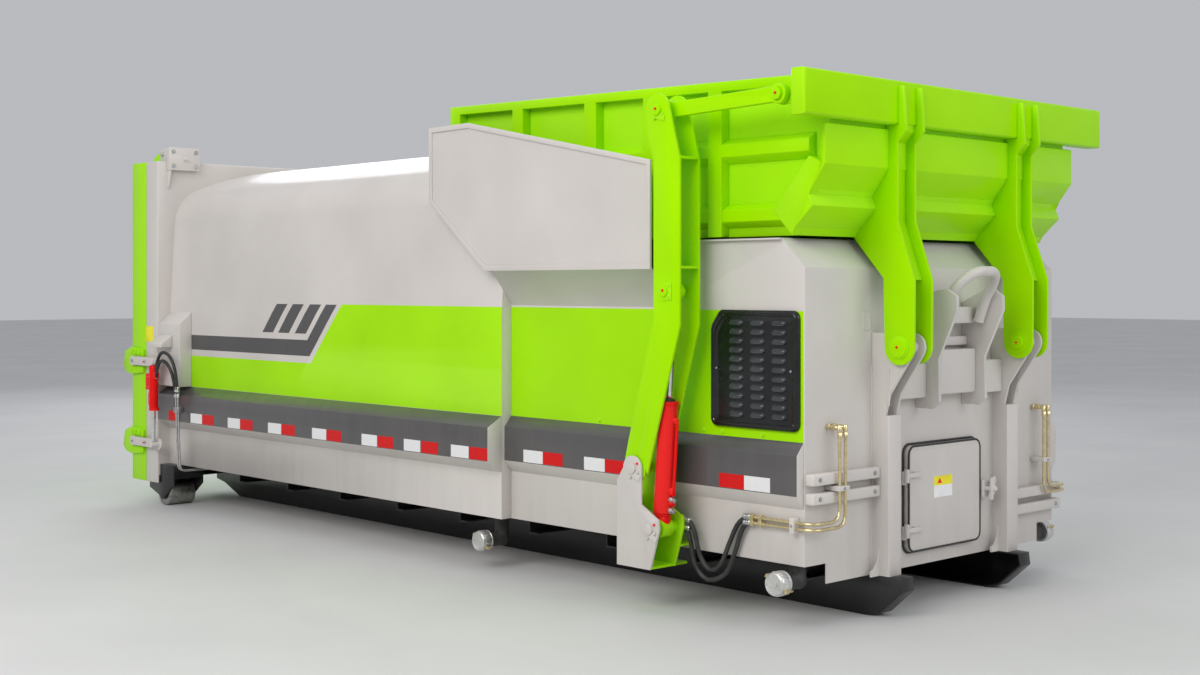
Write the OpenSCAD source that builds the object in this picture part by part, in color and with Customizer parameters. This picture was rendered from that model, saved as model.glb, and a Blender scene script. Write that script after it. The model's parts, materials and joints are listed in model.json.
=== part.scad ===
/* [Container] */
// Distance from the origin forward to the front faces of the hook columns
nose_x = 2960; // [2900:10:3050]
// Length of the storage container behind the compactor head
container_len = 3570; // [3000:10:4200]
// Outer width of the storage container
container_w = 2150; // [2100:10:2200]
// Height of the body floor above the ground
floor_z = 280; // [260:5:320]
// Height of the crown of the container roof
crown_z = 2338; // [2320:2:2344]
// Radius of the crowned roof
crown_r = 2300; // [2100:10:2500]
// Radius of the rounded shoulder between side and roof
shoulder_r = 260; // [200:10:300]
// Height at which the side starts to lean inward
knee_z = 1330; // [1250:10:1450]
// Inward lean of the upper side, in degrees
side_lean = 3.2; // [2:0.1:4.5]
// Thickness of the body sheet
sheet = 6; // [5:0.5:8]

/* [Compactor head] */
// Length of the compactor head
head_len = 1975; // [1800:5:2100]
// How far each side of the head lies inside the side of the container
head_inset = 65; // [50:1:80]
// Height of the rim round the feed opening
rim_z = 1712; // [1690:2:1716]
// Length of roof that the feed opening cuts from the container
feed_overlap = 533; // [531:1:600]
// Width of the rim flange
rim_flange = 36; // [24:2:44]
// Height of the packer ram block
ram_h = 430; // [300:10:520]
// Stroke-side length of the packer ram block
ram_len = 720; // [500:10:900]

/* [Rub rails] */
// Height of the upper edge of the rail
rail_top_z = 820; // [780:5:860]
// Height of the top of the flat rail face
rail_face_top_z = 765; // [740:5:790]
// Height of the bottom of the flat rail face
rail_face_low_z = 588; // [560:5:620]
// Height of the lower edge of the rail
rail_low_z = 527; // [500:5:560]
// How far the container rail stands out
container_rail_d = 95; // [70:5:100]
// How far the head rail stands out
head_rail_d = 47; // [35:1:50]
// Thickness of the rail sheet
rail_t = 5; // [4:0.5:8]

/* [Underframe] */
// Distance between the outer faces of the two skid rails
skid_span = 1060; // [1040:5:1070]
// Width of one skid rail
skid_w = 92; // [80:2:110]
// Height of one skid rail
skid_h = 190; // [160:5:200]
// Radius of a rear roller
roller_r = 85; // [75:1:95]
// Length of a rear roller
roller_len = 190; // [150:5:230]
// Radius of a roller axle
roller_axle_r = 22; // [16:1:30]

/* [Hook end] */
// Height of the middle of the hook bar
hook_z = 1565; // [1550:5:1580]
// Radius of the hook bar
hook_r = 25; // [22:1:30]
// Distance between the hook plates, centre to centre
hook_span = 380; // [340:10:420]
// Thickness of a hook plate
hook_plate_t = 20; // [14:1:25]
// Depth of the hook columns
column_d = 120; // [110:5:140]
// Height of the plain part of the columns
column_top_z = 915; // [860:5:960]
// Thickness of the pivot bracket plates
pivot_plate_t = 14; // [10:1:18]

/* [Hopper] */
// Length of the hopper
hopper_len = 2590; // [2560:2:2594]
// How far each side of the hopper lies inside the side of the container
hopper_inset = 65; // [50:1:80]
// Depth of the hopper ribs
hopper_rib_d = 54; // [40:2:60]
// Height of the hopper top at its front
hopper_top_z = 2417; // [2390:1:2440]
// Rise of the hopper top towards the rear
hopper_rise = 63; // [0:1:80]
// Height of the mouth of the hopper
mouth_z = 1722; // [1720:1:1740]
// Thickness of the hopper sheet
hopper_t = 6; // [5:0.5:8]
// How far the hopper beam reaches past the side of the container
beam_reach = 136; // [116:1:146]
// Height of the front beam
beam_h = 197; // [170:1:210]
// Depth of the front beam
beam_d = 81; // [70:1:90]
// Distance between the middles of the two hopper arms
hopper_arm_span = 970; // [960:1:990]
// Gap between the two plates of a hopper arm
hopper_arm_gap = 119; // [111:1:125]
// Thickness of the hopper arm plates
hopper_arm_t = 14; // [10:1:18]
// Radius of the hopper pivot pins
hopper_pin_r = 30; // [22:1:36]

/* [Lift] */
// Distance from the side of the container to the inner plate of a lift arm
lift_clear = 33; // [31:1:37]
// Clear space between the two lift arm plates
lift_gap = 113; // [105:1:118]
// Thickness of lift arm and bracket plates
lift_t = 12; // [10:1:14]
// Side clearance between moving plates
side_gap = 5; // [5:0.5:7]
// Radius of the lift arm pins
lift_pin_r = 26; // [20:1:30]
// Running clearance of a pin in its bore
pin_gap = 0.06; // [0.02:0.01:0.1]
// Outer radius of the lift cylinder barrel
barrel_r = 38; // [34:1:42]
// Length of the lift cylinder barrel from its lower pin
barrel_len = 585; // [540:5:620]
// Radius of the lift cylinder rod
rod_r = 18; // [14:1:22]
// Thickness of the tie link
link_t = 30; // [20:1:36]
// Half height of the tie link
link_half_h = 34; // [28:1:40]

/* [Rear door] */
// How far the rear frame and door reach past the side of the container
rear_reach = 95; // [75:1:105]
// Depth of the rear frame
rear_frame_d = 165; // [140:5:180]
// Height of the top of the rear frame
rear_top_z = 2356; // [2350:1:2366]
// Height of the bottom of the rear frame
rear_low_z = 202; // [202:1:230]
// Height of the side skirts of the rear frame and door
rear_skirt_z = 150; // [140:1:180]
// Thickness of the rear door
door_d = 200; // [160:5:220]
// Gap round the closed door
door_gap = 6; // [5:0.5:8]
// Height of the door hinge pins
hinge_z = 2412; // [2408:1:2425]
// Radius of the door hinge pins
hinge_pin_r = 15; // [12:1:18]

/* [Openings] */
// Width of the service door
service_w = 590; // [500:5:620]
// Height of the service door
service_h = 495; // [420:5:520]
// Height of the bottom of the service door
service_z = 262; // [250:2:280]
// Thickness of the service door leaf
service_t = 26; // [18:1:30]
// Corner radius of the service door
service_r = 40; // [25:1:60]
// Length of a vent panel
vent_w = 518; // [440:2:540]
// Height of a vent panel
vent_h = 530; // [440:2:540]
// Thickness of a vent panel
vent_t = 18; // [12:1:24]

/* [Hidden] */
$fn = 48;

lime = [0.62, 0.88, 0.02];
paint_grey = [0.80, 0.78, 0.76];
band_grey = [0.31, 0.30, 0.30];
frame_black = [0.09, 0.09, 0.10];
cylinder_red = [0.82, 0.05, 0.05];
rod_chrome = [0.85, 0.86, 0.88];
zinc_yellow = [0.72, 0.58, 0.30];
rubber_black = [0.05, 0.05, 0.05];
fitting_white = [0.85, 0.85, 0.82];

// Stations along the body, measured back from the faces of the hook columns
function back(d) = nose_x - d;
head_front = back(95);
head_rear = head_front - head_len;
container_front = head_rear;
container_rear = container_front - container_len;
feed_rear = head_rear - feed_overlap;
rear_frame_x = container_rear - rear_frame_d;

half_container = container_w / 2;
half_head = half_container - head_inset;
half_rear = half_container + rear_reach;
half_skid = skid_span / 2;
half_hopper = half_container - hopper_inset;
half_beam = half_container + beam_reach;
hopper_side_y = half_hopper - hopper_rib_d;

// Rounded shoulder: a circle that touches the leaning side and the crowned roof
crown_c = [0, crown_z - crown_r];
lean_n = [cos(side_lean), sin(side_lean)];
lean_u = [-sin(side_lean), cos(side_lean)];
function dot2(a, b) = a[0] * b[0] + a[1] * b[1];
lean_d = dot2(lean_n, [half_container, knee_z]);
shoulder_p = (lean_d - shoulder_r) * lean_n - crown_c;
shoulder_k = dot2(shoulder_p, lean_u);
shoulder_s = -shoulder_k
    + sqrt(pow(shoulder_k, 2) - dot2(shoulder_p, shoulder_p) + pow(crown_r - shoulder_r, 2));
shoulder_c = (lean_d - shoulder_r) * lean_n + shoulder_s * lean_u;
shoulder_t = shoulder_c + shoulder_r * lean_n;
crown_far = crown_c + 1.3 * crown_r * (shoulder_c - crown_c) / norm(shoulder_c - crown_c);
function flip(p) = [-p[0], p[1]];

// Linkage pivots, as [x, z] in the side view
hopper_pivot = [back(-74), 1225];
arm_foot = [back(907), 661];
arm_head = [back(760), 2300];
link_end = [back(95), 2319];
barrel_foot = [back(797), 392];
rod_eye = [back(714), 1476];
barrel_dir = (rod_eye - barrel_foot) / norm(rod_eye - barrel_foot);
barrel_angle = atan2(barrel_dir[1], barrel_dir[0]);

// Lanes of the lift parts across the body, as distances from the middle
inner_arm_y = half_container + lift_clear;
outer_arm_y = inner_arm_y + lift_t + lift_gap;
inner_bracket_y = inner_arm_y - side_gap - lift_t;
outer_bracket_y = outer_arm_y + lift_t + side_gap;
lift_out_y = outer_bracket_y + lift_t;
lane_y = inner_arm_y + lift_t + lift_gap / 2;

// Places of the hopper outline
hopper_front = back(0);
hopper_rear = hopper_front - hopper_len;
mouth_front = back(168);
hopper_knee_z = 2035;
hopper_rear_knee_z = 1965;
mouth_rear = back(2180);
beam_front = back(-70);
beam_top_z = hopper_top_z;

// Feed opening and its side guards
guard_y = half_container + 65;
guard_t = 6;
guard_low_z = 1578;
guard_knee_z = 1955;
guard_foot_x = head_rear - 60;
guard_rear_x = feed_rear;
guard_front_x = back(905);
flare_foot_z = 1400;
guard_outline = [
    [guard_rear_x, 2357], [head_rear - 195, 2361], [guard_front_x, 2088],
    [guard_front_x, guard_low_z], [guard_foot_x, guard_low_z], [guard_rear_x, guard_knee_z]
];
guard_border = [
    [guard_rear_x + 26, 2331], [head_rear - 198, 2334], [guard_front_x - 26, 2067],
    [guard_front_x - 26, guard_low_z + 26], [guard_foot_x + 11, guard_low_z + 26],
    [guard_rear_x + 26, guard_knee_z + 11]
];
head_outline = [
    [head_rear, floor_z], [head_front, floor_z], [head_front, 1581], [back(202), 1687],
    [back(222), rim_z], [guard_front_x, rim_z], [guard_front_x, flare_foot_z], [head_rear, flare_foot_z]
];
power_room_x = back(760);
deck_low_z = 1400;
apron_y = half_head - 148;
vent_x = back(376);
vent_low_z = rail_top_z + 42;
vent_corner = 55;

// Rear door, its hinges and latches
hinge_p = [rear_frame_x + 45, hinge_z];
hinge_ear_y = [half_rear - 164, half_rear - 120];
cheek_t = 16;
door_x0 = rear_frame_x - door_gap - door_d;
door_x1 = rear_frame_x - door_gap;
rear_skirt_t = 14;
door_rim = 62;
door_skin = 10;
door_pocket_d = 45;
door_rib_count = 5;
latch_zs = [980, 424];
latch_ear_t = 20;
latch_pin_r = 18;
latch_slot_up = 12;
latch_slot_down = 18;
latch_pin_x = door_x0 + 75;
latch_lever_x = container_rear + 80;
latch_lever_t = 14;
latch_y = half_rear + latch_ear_t + 6;
latch_rod_r = 14;
latch_barrel_r = 30;
latch_axis_y = latch_y + latch_lever_t + latch_barrel_r + 2;

// Underframe
skid_rear_x = container_rear - 337;
skid_t = 10;
crossmember_count = 10;
crossmember_y = half_container - 175;
roller_p = [container_rear + 30, roller_r];
roller_plate_x = [container_rear - 150, container_rear + 190];
roller_plate_t = 12;
latch_cover_len = 295;
roller_y = half_rear - 130;
drain_cap_r = 52;
drain_pipe_r = 38;
drains = [[back(190), 205], [container_front - 160, 150]];
drain_y = half_container - 135;
drain_pipe_len = 100;
drain_cap_len = 60;

// Hook end
pivot_side_gap = 12;
column_in_y = hopper_arm_span / 2 - hopper_arm_gap / 2 + pivot_side_gap;
column_out_y = hopper_arm_span / 2 + hopper_arm_gap / 2 - pivot_side_gap;
column_t = 10;
pin_reach = 16;
hook_outline = [
    [head_front, 930], [back(1), 928], [back(-40), 961], [back(-35), 1163], [back(-137), 1385],
    [back(-135), 1453], [back(-82), 1487], [back(-20), 1478], [head_front, 1420]
];
step_zs_left = [633, 550];
step_zs_right = [430, 350];
bend_extra = 2.5;
pipe_r = 9;
pipe_side_zs = [472, 446];
pipe_front_ys = [half_head - 155, half_head - 195];
pipe_top_z = 880;
pipe_start_x = back(372);
pipe_corner_x = head_front + pipe_r + 60;
pipe_y = half_head + pipe_r + 14;
service_hinge_p = [head_front + 18, -service_w / 2 - 16];
service_gap = 6;
service_hinge_zs = [345, 600];

// Hopper details
beam_low_z = beam_top_z - beam_h;
seam = 0.01;
function hopper_wall_x(z) = hopper_front + seam
    - (hopper_knee_z - z) * (hopper_front - mouth_front) / (hopper_knee_z - mouth_z);
brow_outline = [
    [hopper_front, 2205], [back(-18), 2200], [back(-18), 2026], [hopper_wall_x(1920), 1920],
    [hopper_front, hopper_knee_z]
];
lip_outline = [[hopper_wall_x(1900), 1900], [back(51), 1848], [hopper_wall_x(1756), 1756]];
hopper_outline = [
    [hopper_rear, hopper_top(hopper_rear)], [hopper_front, hopper_top_z], [hopper_front, hopper_knee_z],
    [mouth_front, mouth_z], [mouth_rear, mouth_z], [hopper_rear, hopper_rear_knee_z]
];
rib_w = 84;
rib_xs = [hopper_rear, back(2062), back(1505), back(1090), back(666)];
rail_h = 44;
arm_front_edge = [
    [back(-100), 2392], [back(-112), 2193], [back(-64), 2141], [back(-64), 1793], [back(-155), 1526],
    [back(-153), 1225]
];
arm_cover_t = 10;

// Lift details
arm_outline = [
    [back(833), 2300], [back(820), 2180], [back(784), 2072], [back(784), 1344], [back(947), 787],
    [back(978), 661], [back(836), 661], [back(825), 640], [back(620), 1325], [back(620), 2072],
    [back(650), 2180], [back(685), 2300]
];
gland_r = 44;
port_d = 120;
rod_inside = 110;
bore_start = 100;
hose_r = 11;
hose_sides = 10;
hose_steps = 3;
hose_routes = [
    [[2196, -1078, 428], [2236, -1077, 424], [2268, -1070, 372], [2288, -1058, 270], [2340, -1048, 208],
     [2400, -1040, 234], [2446, -1035, 330], [2496, -1033, 425], [2548, -1033, 466], [2583, -1033, 472]],
    [[2196, -1078, 392], [2222, -1076, 384], [2238, -1062, 320], [2250, -1048, 222], [2320, -1040, 158],
     [2424, -1034, 196], [2482, -1033, 300], [2520, -1033, 398], [2556, -1033, 440], [2583, -1033, 446]]
];

// Turns a flat outline drawn in x and z into a plate from y to y + t
module sheet_xz(y, t) {
    translate([0, y + t, 0]) rotate([90, 0, 0]) linear_extrude(t) children();
}

// Turns a flat outline drawn in y and z into a bar from x0 to x1
module along_x(x0, x1) {
    translate([x0, 0, 0]) rotate([90, 0, 90]) linear_extrude(x1 - x0) children();
}

// A round pin across the body
module pin_y(p, r, y0, y1) {
    translate([p[0], y1, p[1]]) rotate([90, 0, 0]) cylinder(r = r, h = y1 - y0);
}

// The same thing on both sides of the body
module both_sides() {
    children();
    mirror([0, 1, 0]) children();
}

module block(lo, hi) {
    translate(lo) cube(hi - lo);
}

// A round bar along a route of points, with ball joints a little thicker than the bar
module round_bar(route, r) {
    for (i = [0 : len(route) - 2]) {
        d = route[i + 1] - route[i];
        translate(route[i]) rotate([0, acos(d[2] / norm(d)), atan2(d[1], d[0])]) cylinder(r = r, h = norm(d));
    }
    for (i = [1 : len(route) - 2]) translate(route[i]) sphere(r = r + bend_extra);
}

// ---- Storage container ----

// Cross section of the container, shrunk by inset, standing on the height low
module container_outline(inset, low) {
    w = half_container - inset;
    touch = shoulder_t - inset * lean_n;
    intersection() {
        translate(crown_c) circle(r = crown_r - inset, $fn = 180);
        polygon([
            [-w, low], [w, low], [w, knee_z], touch, shoulder_c, crown_far,
            flip(crown_far), flip(shoulder_c), flip(touch), [-w, knee_z]
        ]);
    }
    for (s = [-1, 1]) translate([s * shoulder_c[0], shoulder_c[1]]) circle(r = shoulder_r - inset, $fn = 96);
}

// The stretch over which the feed opening takes the roof and upper sides away
module feed_cut() {
    sheet_xz(-half_container - 10, container_w + 20)
        polygon([
            [feed_rear, crown_z + 50], [container_front + 10, crown_z + 50],
            [container_front + 10, guard_low_z], [guard_foot_x, guard_low_z],
            [feed_rear, guard_knee_z]
        ]);
}

module container_shell() {
    color(paint_grey) difference() {
        along_x(container_rear, container_front) container_outline(0, floor_z);
        along_x(container_rear - 1, container_front + 1) container_outline(sheet, floor_z - 1);
        feed_cut();
    }
}

module container_floor() {
    w = half_container - sheet;
    color(paint_grey) block([rear_frame_x, -w, floor_z], [container_front - sheet, w, floor_z + sheet]);
}

// Upper bulkhead behind the feed opening, and the returns where the container steps in to the head
module container_bulkhead() {
    color(paint_grey) {
        intersection() {
            along_x(feed_rear - sheet, feed_rear) container_outline(sheet, floor_z);
            block([feed_rear - 20, -half_container, guard_knee_z], [feed_rear + 20, half_container, crown_z]);
        }
        intersection() {
            along_x(container_front - sheet, container_front) container_outline(sheet, floor_z);
            both_sides() block([container_front - sheet, -half_container, floor_z],
                               [container_front, -half_head + sheet, guard_low_z]);
        }
    }
}

// ---- Rear frame and door ----

module rear_frame() {
    lo = [-half_rear, rear_low_z];
    hi = [half_rear, rear_top_z];
    color(paint_grey) difference() {
        along_x(rear_frame_x, container_rear) difference() {
            translate(lo) square(hi - lo);
            container_outline(sheet, floor_z);
        }
        along_x(rear_frame_x + sheet, container_rear - sheet) difference() {
            translate(lo + [sheet, sheet]) square(hi - lo - 2 * [sheet, sheet]);
            container_outline(-sheet, floor_z - sheet);
            translate([0, rear_top_z]) square([half_rear, 600], center = true);
        }
    }
    color(paint_grey) rear_skirts(rear_frame_x, container_rear);
}

// Cheek plates that run down beside the rear rollers
module rear_skirts(x0, x1) {
    both_sides() block([x0, -half_rear, rear_skirt_z], [x1, -half_rear + rear_skirt_t, rear_low_z]);
}

// Cheeks and pins that carry the rear door on top of the frame, with the adjusting boxes in front
module door_hinge_brackets() {
    cheek_ys = [hinge_ear_y[0] - side_gap - cheek_t, hinge_ear_y[1] + side_gap];
    color(paint_grey) both_sides() {
        for (y = cheek_ys) sheet_xz(-y - cheek_t, cheek_t) {
            translate(hinge_p) circle(r = 38);
            polygon([
                [rear_frame_x + 12, rear_top_z], [container_rear, rear_top_z],
                [container_rear, hinge_z + 36], hinge_p + [0, 38], hinge_p + [-36, 12]
            ]);
        }
        pin_y(hinge_p, hinge_pin_r, -cheek_ys[1] - cheek_t, -cheek_ys[0]);
        block([container_rear, -half_rear + 66, 2296], [container_rear + 45, -half_rear + 294, 2452]);
    }
}

module rear_door() {
    w = half_rear - door_rim;
    z0 = rear_low_z + door_rim;
    z1 = rear_top_z - door_rim;
    bay = 2 * w / door_rib_count;
    color(lime) difference() {
        block([door_x0, -half_rear, rear_low_z], [door_x1, half_rear, rear_top_z]);
        block([door_x0 + door_pocket_d + door_skin, -w, z0], [door_x1 + 1, w, z1]);
        for (i = [0 : door_rib_count - 1]) for (half = [0, 1])
            block([door_x0 - 1, -w + i * bay + 30, half == 0 ? z0 : (z0 + z1) / 2 + 30],
                  [door_x0 + door_pocket_d, -w + (i + 1) * bay - 30, half == 0 ? (z0 + z1) / 2 - 30 : z1]);
    }
    color(lime) rear_skirts(door_x0, door_x1);
}

// Hinge ears on the door's top edge and hook ears for the latches on its sides
module rear_door_ears() {
    color(lime) both_sides() {
        difference() {
            sheet_xz(-hinge_ear_y[1], hinge_ear_y[1] - hinge_ear_y[0]) {
                translate(hinge_p) circle(r = 34);
                polygon([
                    hinge_p + [10, 33], hinge_p + [-120, 6], [door_x0 + 40, rear_top_z],
                    [door_x1, rear_top_z], hinge_p + [-30, -16]
                ]);
            }
            pin_y(hinge_p, hinge_pin_r + pin_gap, -hinge_ear_y[1] - 1, -hinge_ear_y[0] + 1);
        }
        for (z = latch_zs) sheet_xz(-half_rear - latch_ear_t, latch_ear_t) difference() {
            polygon([
                [door_x0 - 96.5, z - 40], [door_x0 - 70, z + 62], [door_x0 + 30, z + 95],
                [door_x1 - 4, z + 78], [door_x1 - 4, z - 78], [door_x0 + 20, z - 95], [door_x0 - 60, z - 78]
            ]);
            translate([latch_pin_x, z]) circle(r = latch_pin_r + latch_slot_up);
            translate([latch_pin_x, z - latch_pin_r - latch_slot_down])
                square([door_d, 2 * latch_pin_r + latch_slot_up + latch_slot_down]);
        }
    }
}

// Levers beside the door ears, with the pins that lie in the ears' slots
module latch_levers() {
    color(paint_grey) both_sides() for (z = latch_zs) {
        sheet_xz(-latch_y - latch_lever_t, latch_lever_t) {
            translate([latch_pin_x, z]) circle(r = 34);
            translate([latch_lever_x, z]) circle(r = 40);
            translate([latch_pin_x, z - 30]) square([latch_lever_x - latch_pin_x, 60]);
        }
        pin_y([latch_pin_x, z], latch_pin_r, -latch_y, -half_rear - side_gap - 0.5);
        pin_y([rear_frame_x + 60, z], 28, -latch_y, -half_rear);
        pin_y([latch_lever_x, z], 20, -latch_axis_y - 24, -latch_y - latch_lever_t);
    }
}

module latch_cylinders() {
    top = latch_zs[0] - 20.3;
    low = latch_zs[1] + 20.3;
    both_sides() translate([latch_lever_x, -latch_axis_y, 0]) {
        color(cylinder_red) translate([0, 0, top - 300]) cylinder(r = latch_barrel_r, h = 300);
        color(rod_chrome) translate([0, 0, low]) cylinder(r = latch_rod_r, h = top - 300 - low);
    }
}

// Sloped sheet covers beside the upper latches, on the container side
module latch_covers() {
    color(paint_grey) both_sides() difference() {
        along_x(container_rear, container_rear + latch_cover_len) polygon([
            [-half_container, 1325], [-half_rear + 2, 1242], [-half_rear + 2, 1150],
            [-half_container - 34, 1090], [-half_container, 1090]
        ]);
        along_x(container_rear + sheet, container_rear + latch_cover_len - sheet) polygon([
            [-half_container + 1, 1317], [-half_rear + 8, 1238], [-half_rear + 8, 1040],
            [-half_container + 1, 1040]
        ]);
    }
}

// ---- Compactor head ----

// Side walls, front wall with the service opening, sloped brow, apron and rim flange
module head_shell() {
    color(paint_grey) {
        difference() {
            sheet_xz(-half_head, 2 * half_head) polygon(head_outline);
            sheet_xz(-half_head + sheet, 2 * (half_head - sheet)) polygon([
                [head_rear - 1, floor_z - 1], [head_front - sheet, floor_z - 1], [head_front - sheet, 1578],
                [back(202) - sheet, 1684], [back(222) - sheet, rim_z + 1], [head_rear - 1, rim_z + 1]
            ]);
            block([head_front - 50, -service_w / 2 + 40, service_z + 40],
                  [head_front + 50, service_w / 2 - 40, service_z + service_h - 40]);
        }
        block([head_front - sheet, -apron_y, skid_h], [head_front, apron_y, floor_z]);
        both_sides() block([guard_front_x, -half_head - 20, rim_z - 8], [back(222), -half_head, rim_z]);
    }
}

module head_floor() {
    w = half_head - sheet;
    color(paint_grey) block([head_rear, -w, floor_z], [head_front - sheet, w, floor_z + sheet]);
}

// Wall between the packing chamber and the power pack, and the sloped deck above it
module head_decks() {
    w = half_head - sheet;
    color(paint_grey) sheet_xz(-w, 2 * w) polygon([
        [power_room_x, floor_z + sheet], [power_room_x + sheet, floor_z + sheet],
        [power_room_x + sheet, deck_low_z - 3], [back(228), 1693], [back(228), 1700],
        [power_room_x, deck_low_z]
    ]);
}

// Ram that pushes the load from the feed opening into the container
module packer_ram() {
    w = half_head - sheet - 20;
    color(band_grey) block([power_room_x - ram_len, -w, floor_z + sheet],
                           [power_room_x - side_gap, w, floor_z + sheet + ram_h]);
}

module power_pack() {
    color(band_grey) block([back(690), -300, floor_z + sheet], [back(230), 250, 900]);
}

// Bent sheet channel along the side of the body
module rub_rail(x0, x1, y, d) {
    difference() {
        along_x(x0, x1) polygon([
            [-y, rail_low_z], [-y - d, rail_face_low_z], [-y - d, rail_face_top_z], [-y, rail_top_z]
        ]);
        along_x(x0 + rail_t, x1 - rail_t) polygon([
            [-y + 1, rail_low_z + 2 * rail_t], [-y - d + rail_t, rail_face_low_z + rail_t],
            [-y - d + rail_t, rail_face_top_z - rail_t], [-y + 1, rail_top_z - 2 * rail_t]
        ]);
    }
}

module rub_rails() {
    color(band_grey) both_sides() {
        rub_rail(container_rear, container_front, half_container, container_rail_d);
        rub_rail(head_rear, head_front - 5, half_head, head_rail_d);
    }
}

// Side chutes of the feed opening: flat panel with a raised border, sloped foot and rear returns
module chute_guards() {
    color(paint_grey) both_sides() {
        sheet_xz(-guard_y, guard_t) polygon(guard_outline);
        sheet_xz(-guard_y - 8, 8) difference() {
            polygon(guard_outline);
            polygon(guard_border);
        }
        along_x(container_front, guard_front_x) polygon([
            [-guard_y + 1, guard_low_z], [-half_head, flare_foot_z], [-half_head + sheet, flare_foot_z],
            [-half_head + sheet, flare_foot_z + 12], [-guard_y + guard_t / 2, guard_low_z + 14]
        ]);
        sheet_xz(-guard_y + guard_t, guard_y - guard_t - half_container) polygon([
            [guard_rear_x, guard_knee_z], [guard_foot_x, guard_low_z], [container_front, guard_low_z],
            [container_front, guard_low_z + 8], [guard_foot_x, guard_low_z + 8],
            [guard_rear_x, guard_knee_z + 8]
        ]);
        block([guard_rear_x, -guard_y + guard_t, guard_knee_z + 4],
              [guard_rear_x + guard_t, -half_hopper - 12, 2340]);
    }
}

module vent_panels() {
    w = vent_w / 2;
    color(rubber_black) both_sides() sheet_xz(-half_head - vent_t, vent_t) polygon([
        [vent_x - w, vent_low_z], [vent_x + w, vent_low_z], [vent_x + w, vent_low_z + vent_h],
        [vent_x - w + vent_corner, vent_low_z + vent_h], [vent_x - w, vent_low_z + vent_h - 1.4 * vent_corner]
    ]);
}

// ---- Underframe ----

module skid_rails() {
    web = [
        [skid_rear_x, skid_h], [skid_rear_x, 100], [skid_rear_x + 115, 80], [skid_rear_x + 324, 0],
        [back(126), 0], [back(53), 18], [back(-73), 129], [back(-65), skid_h]
    ];
    core = [
        [skid_rear_x - 1, skid_h - skid_t], [skid_rear_x - 1, 100 + skid_t], [skid_rear_x + 119, 80 + skid_t],
        [skid_rear_x + 327, skid_t], [back(129), skid_t], [back(60), 18 + skid_t], [back(-60), 134],
        [back(-54), skid_h - skid_t]
    ];
    color(frame_black) both_sides() difference() {
        sheet_xz(-half_skid, skid_w) polygon(web);
        sheet_xz(-half_skid + skid_t, skid_w) polygon(core);
    }
}

module crossmembers() {
    first = back(240);
    last = container_rear + 60;
    color(frame_black) for (i = [0 : crossmember_count - 1]) {
        x = first + (last - first) * i / (crossmember_count - 1);
        difference() {
            block([x - 35, -crossmember_y, skid_h], [x + 35, crossmember_y, floor_z]);
            block([x - 27, -crossmember_y - 1, skid_h + 8], [x + 36, crossmember_y + 1, floor_z - 8]);
        }
    }
}

module roller_brackets() {
    half = roller_len / 2 + side_gap;
    color(frame_black) both_sides() {
        for (y = [roller_y - half - roller_plate_t, roller_y + half])
            sheet_xz(-y - roller_plate_t, roller_plate_t) {
                translate(roller_p) circle(r = 45);
                polygon([
                    [roller_plate_x[0], skid_h], [roller_plate_x[1], skid_h], [roller_plate_x[1], 150],
                    roller_p + [40, -20], roller_p + [-40, -20], [roller_plate_x[0], 110]
                ]);
            }
        block([roller_plate_x[0], -roller_y - half - roller_plate_t, skid_h],
              [roller_plate_x[1], -roller_y + half + roller_plate_t, skid_h + roller_plate_t]);
        block([container_rear, -roller_y - half - roller_plate_t, skid_h + roller_plate_t],
              [roller_plate_x[1], -roller_y + half + roller_plate_t, floor_z]);
        pin_y(roller_p, roller_axle_r, -roller_y - half, -roller_y + half);
    }
}

module rear_roller(side) {
    color(fitting_white) difference() {
        pin_y(roller_p, roller_r, side * roller_y - roller_len / 2, side * roller_y + roller_len / 2);
        pin_y(roller_p, roller_axle_r + pin_gap, side * roller_y - roller_len, side * roller_y + roller_len);
    }
}
module rear_roller_left() { rear_roller(-1); }
module rear_roller_right() { rear_roller(1); }

// Drain elbows under the floor, each with a round screw cap that faces the side
module drain_fittings() {
    cap_y = drain_y + drain_pipe_len;
    both_sides() for (p = drains) {
        color(rubber_black) {
            translate([p[0], -drain_y, p[1]]) cylinder(r = drain_pipe_r, h = floor_z - p[1]);
            translate([p[0], -drain_y, p[1]]) sphere(r = drain_pipe_r + bend_extra);
            pin_y(p, drain_pipe_r, -cap_y, -drain_y);
        }
        color(fitting_white) pin_y(p, drain_cap_r, -cap_y - drain_cap_len, -cap_y);
    }
}

// ---- Hook end ----

// Ear plate that carries one side of a hopper pivot
module pivot_plate(y) {
    sheet_xz(-y - pivot_plate_t, pivot_plate_t) {
        translate(hopper_pivot) circle(r = 62);
        polygon([
            [head_front, column_top_z], [back(20), column_top_z], [back(-4), 1010],
            hopper_pivot + [52, -34], hopper_pivot + [-10, 61], [head_front, 1289]
        ]);
    }
}

module hook_columns() {
    color(paint_grey) both_sides() {
        difference() {
            block([head_front, -column_out_y, skid_h], [nose_x, -column_in_y, column_top_z]);
            block([head_front - 1, -column_out_y + column_t, skid_h + column_t],
                  [nose_x - column_t, -column_in_y - column_t, column_top_z - column_t]);
        }
        for (y = [column_in_y, column_out_y - pivot_plate_t]) pivot_plate(y);
        pin_y(hopper_pivot, hopper_pin_r,
              -column_out_y - hopper_arm_t - pin_reach, -column_in_y + hopper_arm_t + pin_reach);
    }
}

module hook_plates() {
    color(paint_grey) both_sides()
        sheet_xz(-hook_span / 2 - hook_plate_t / 2, hook_plate_t) polygon(hook_outline);
}

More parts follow.
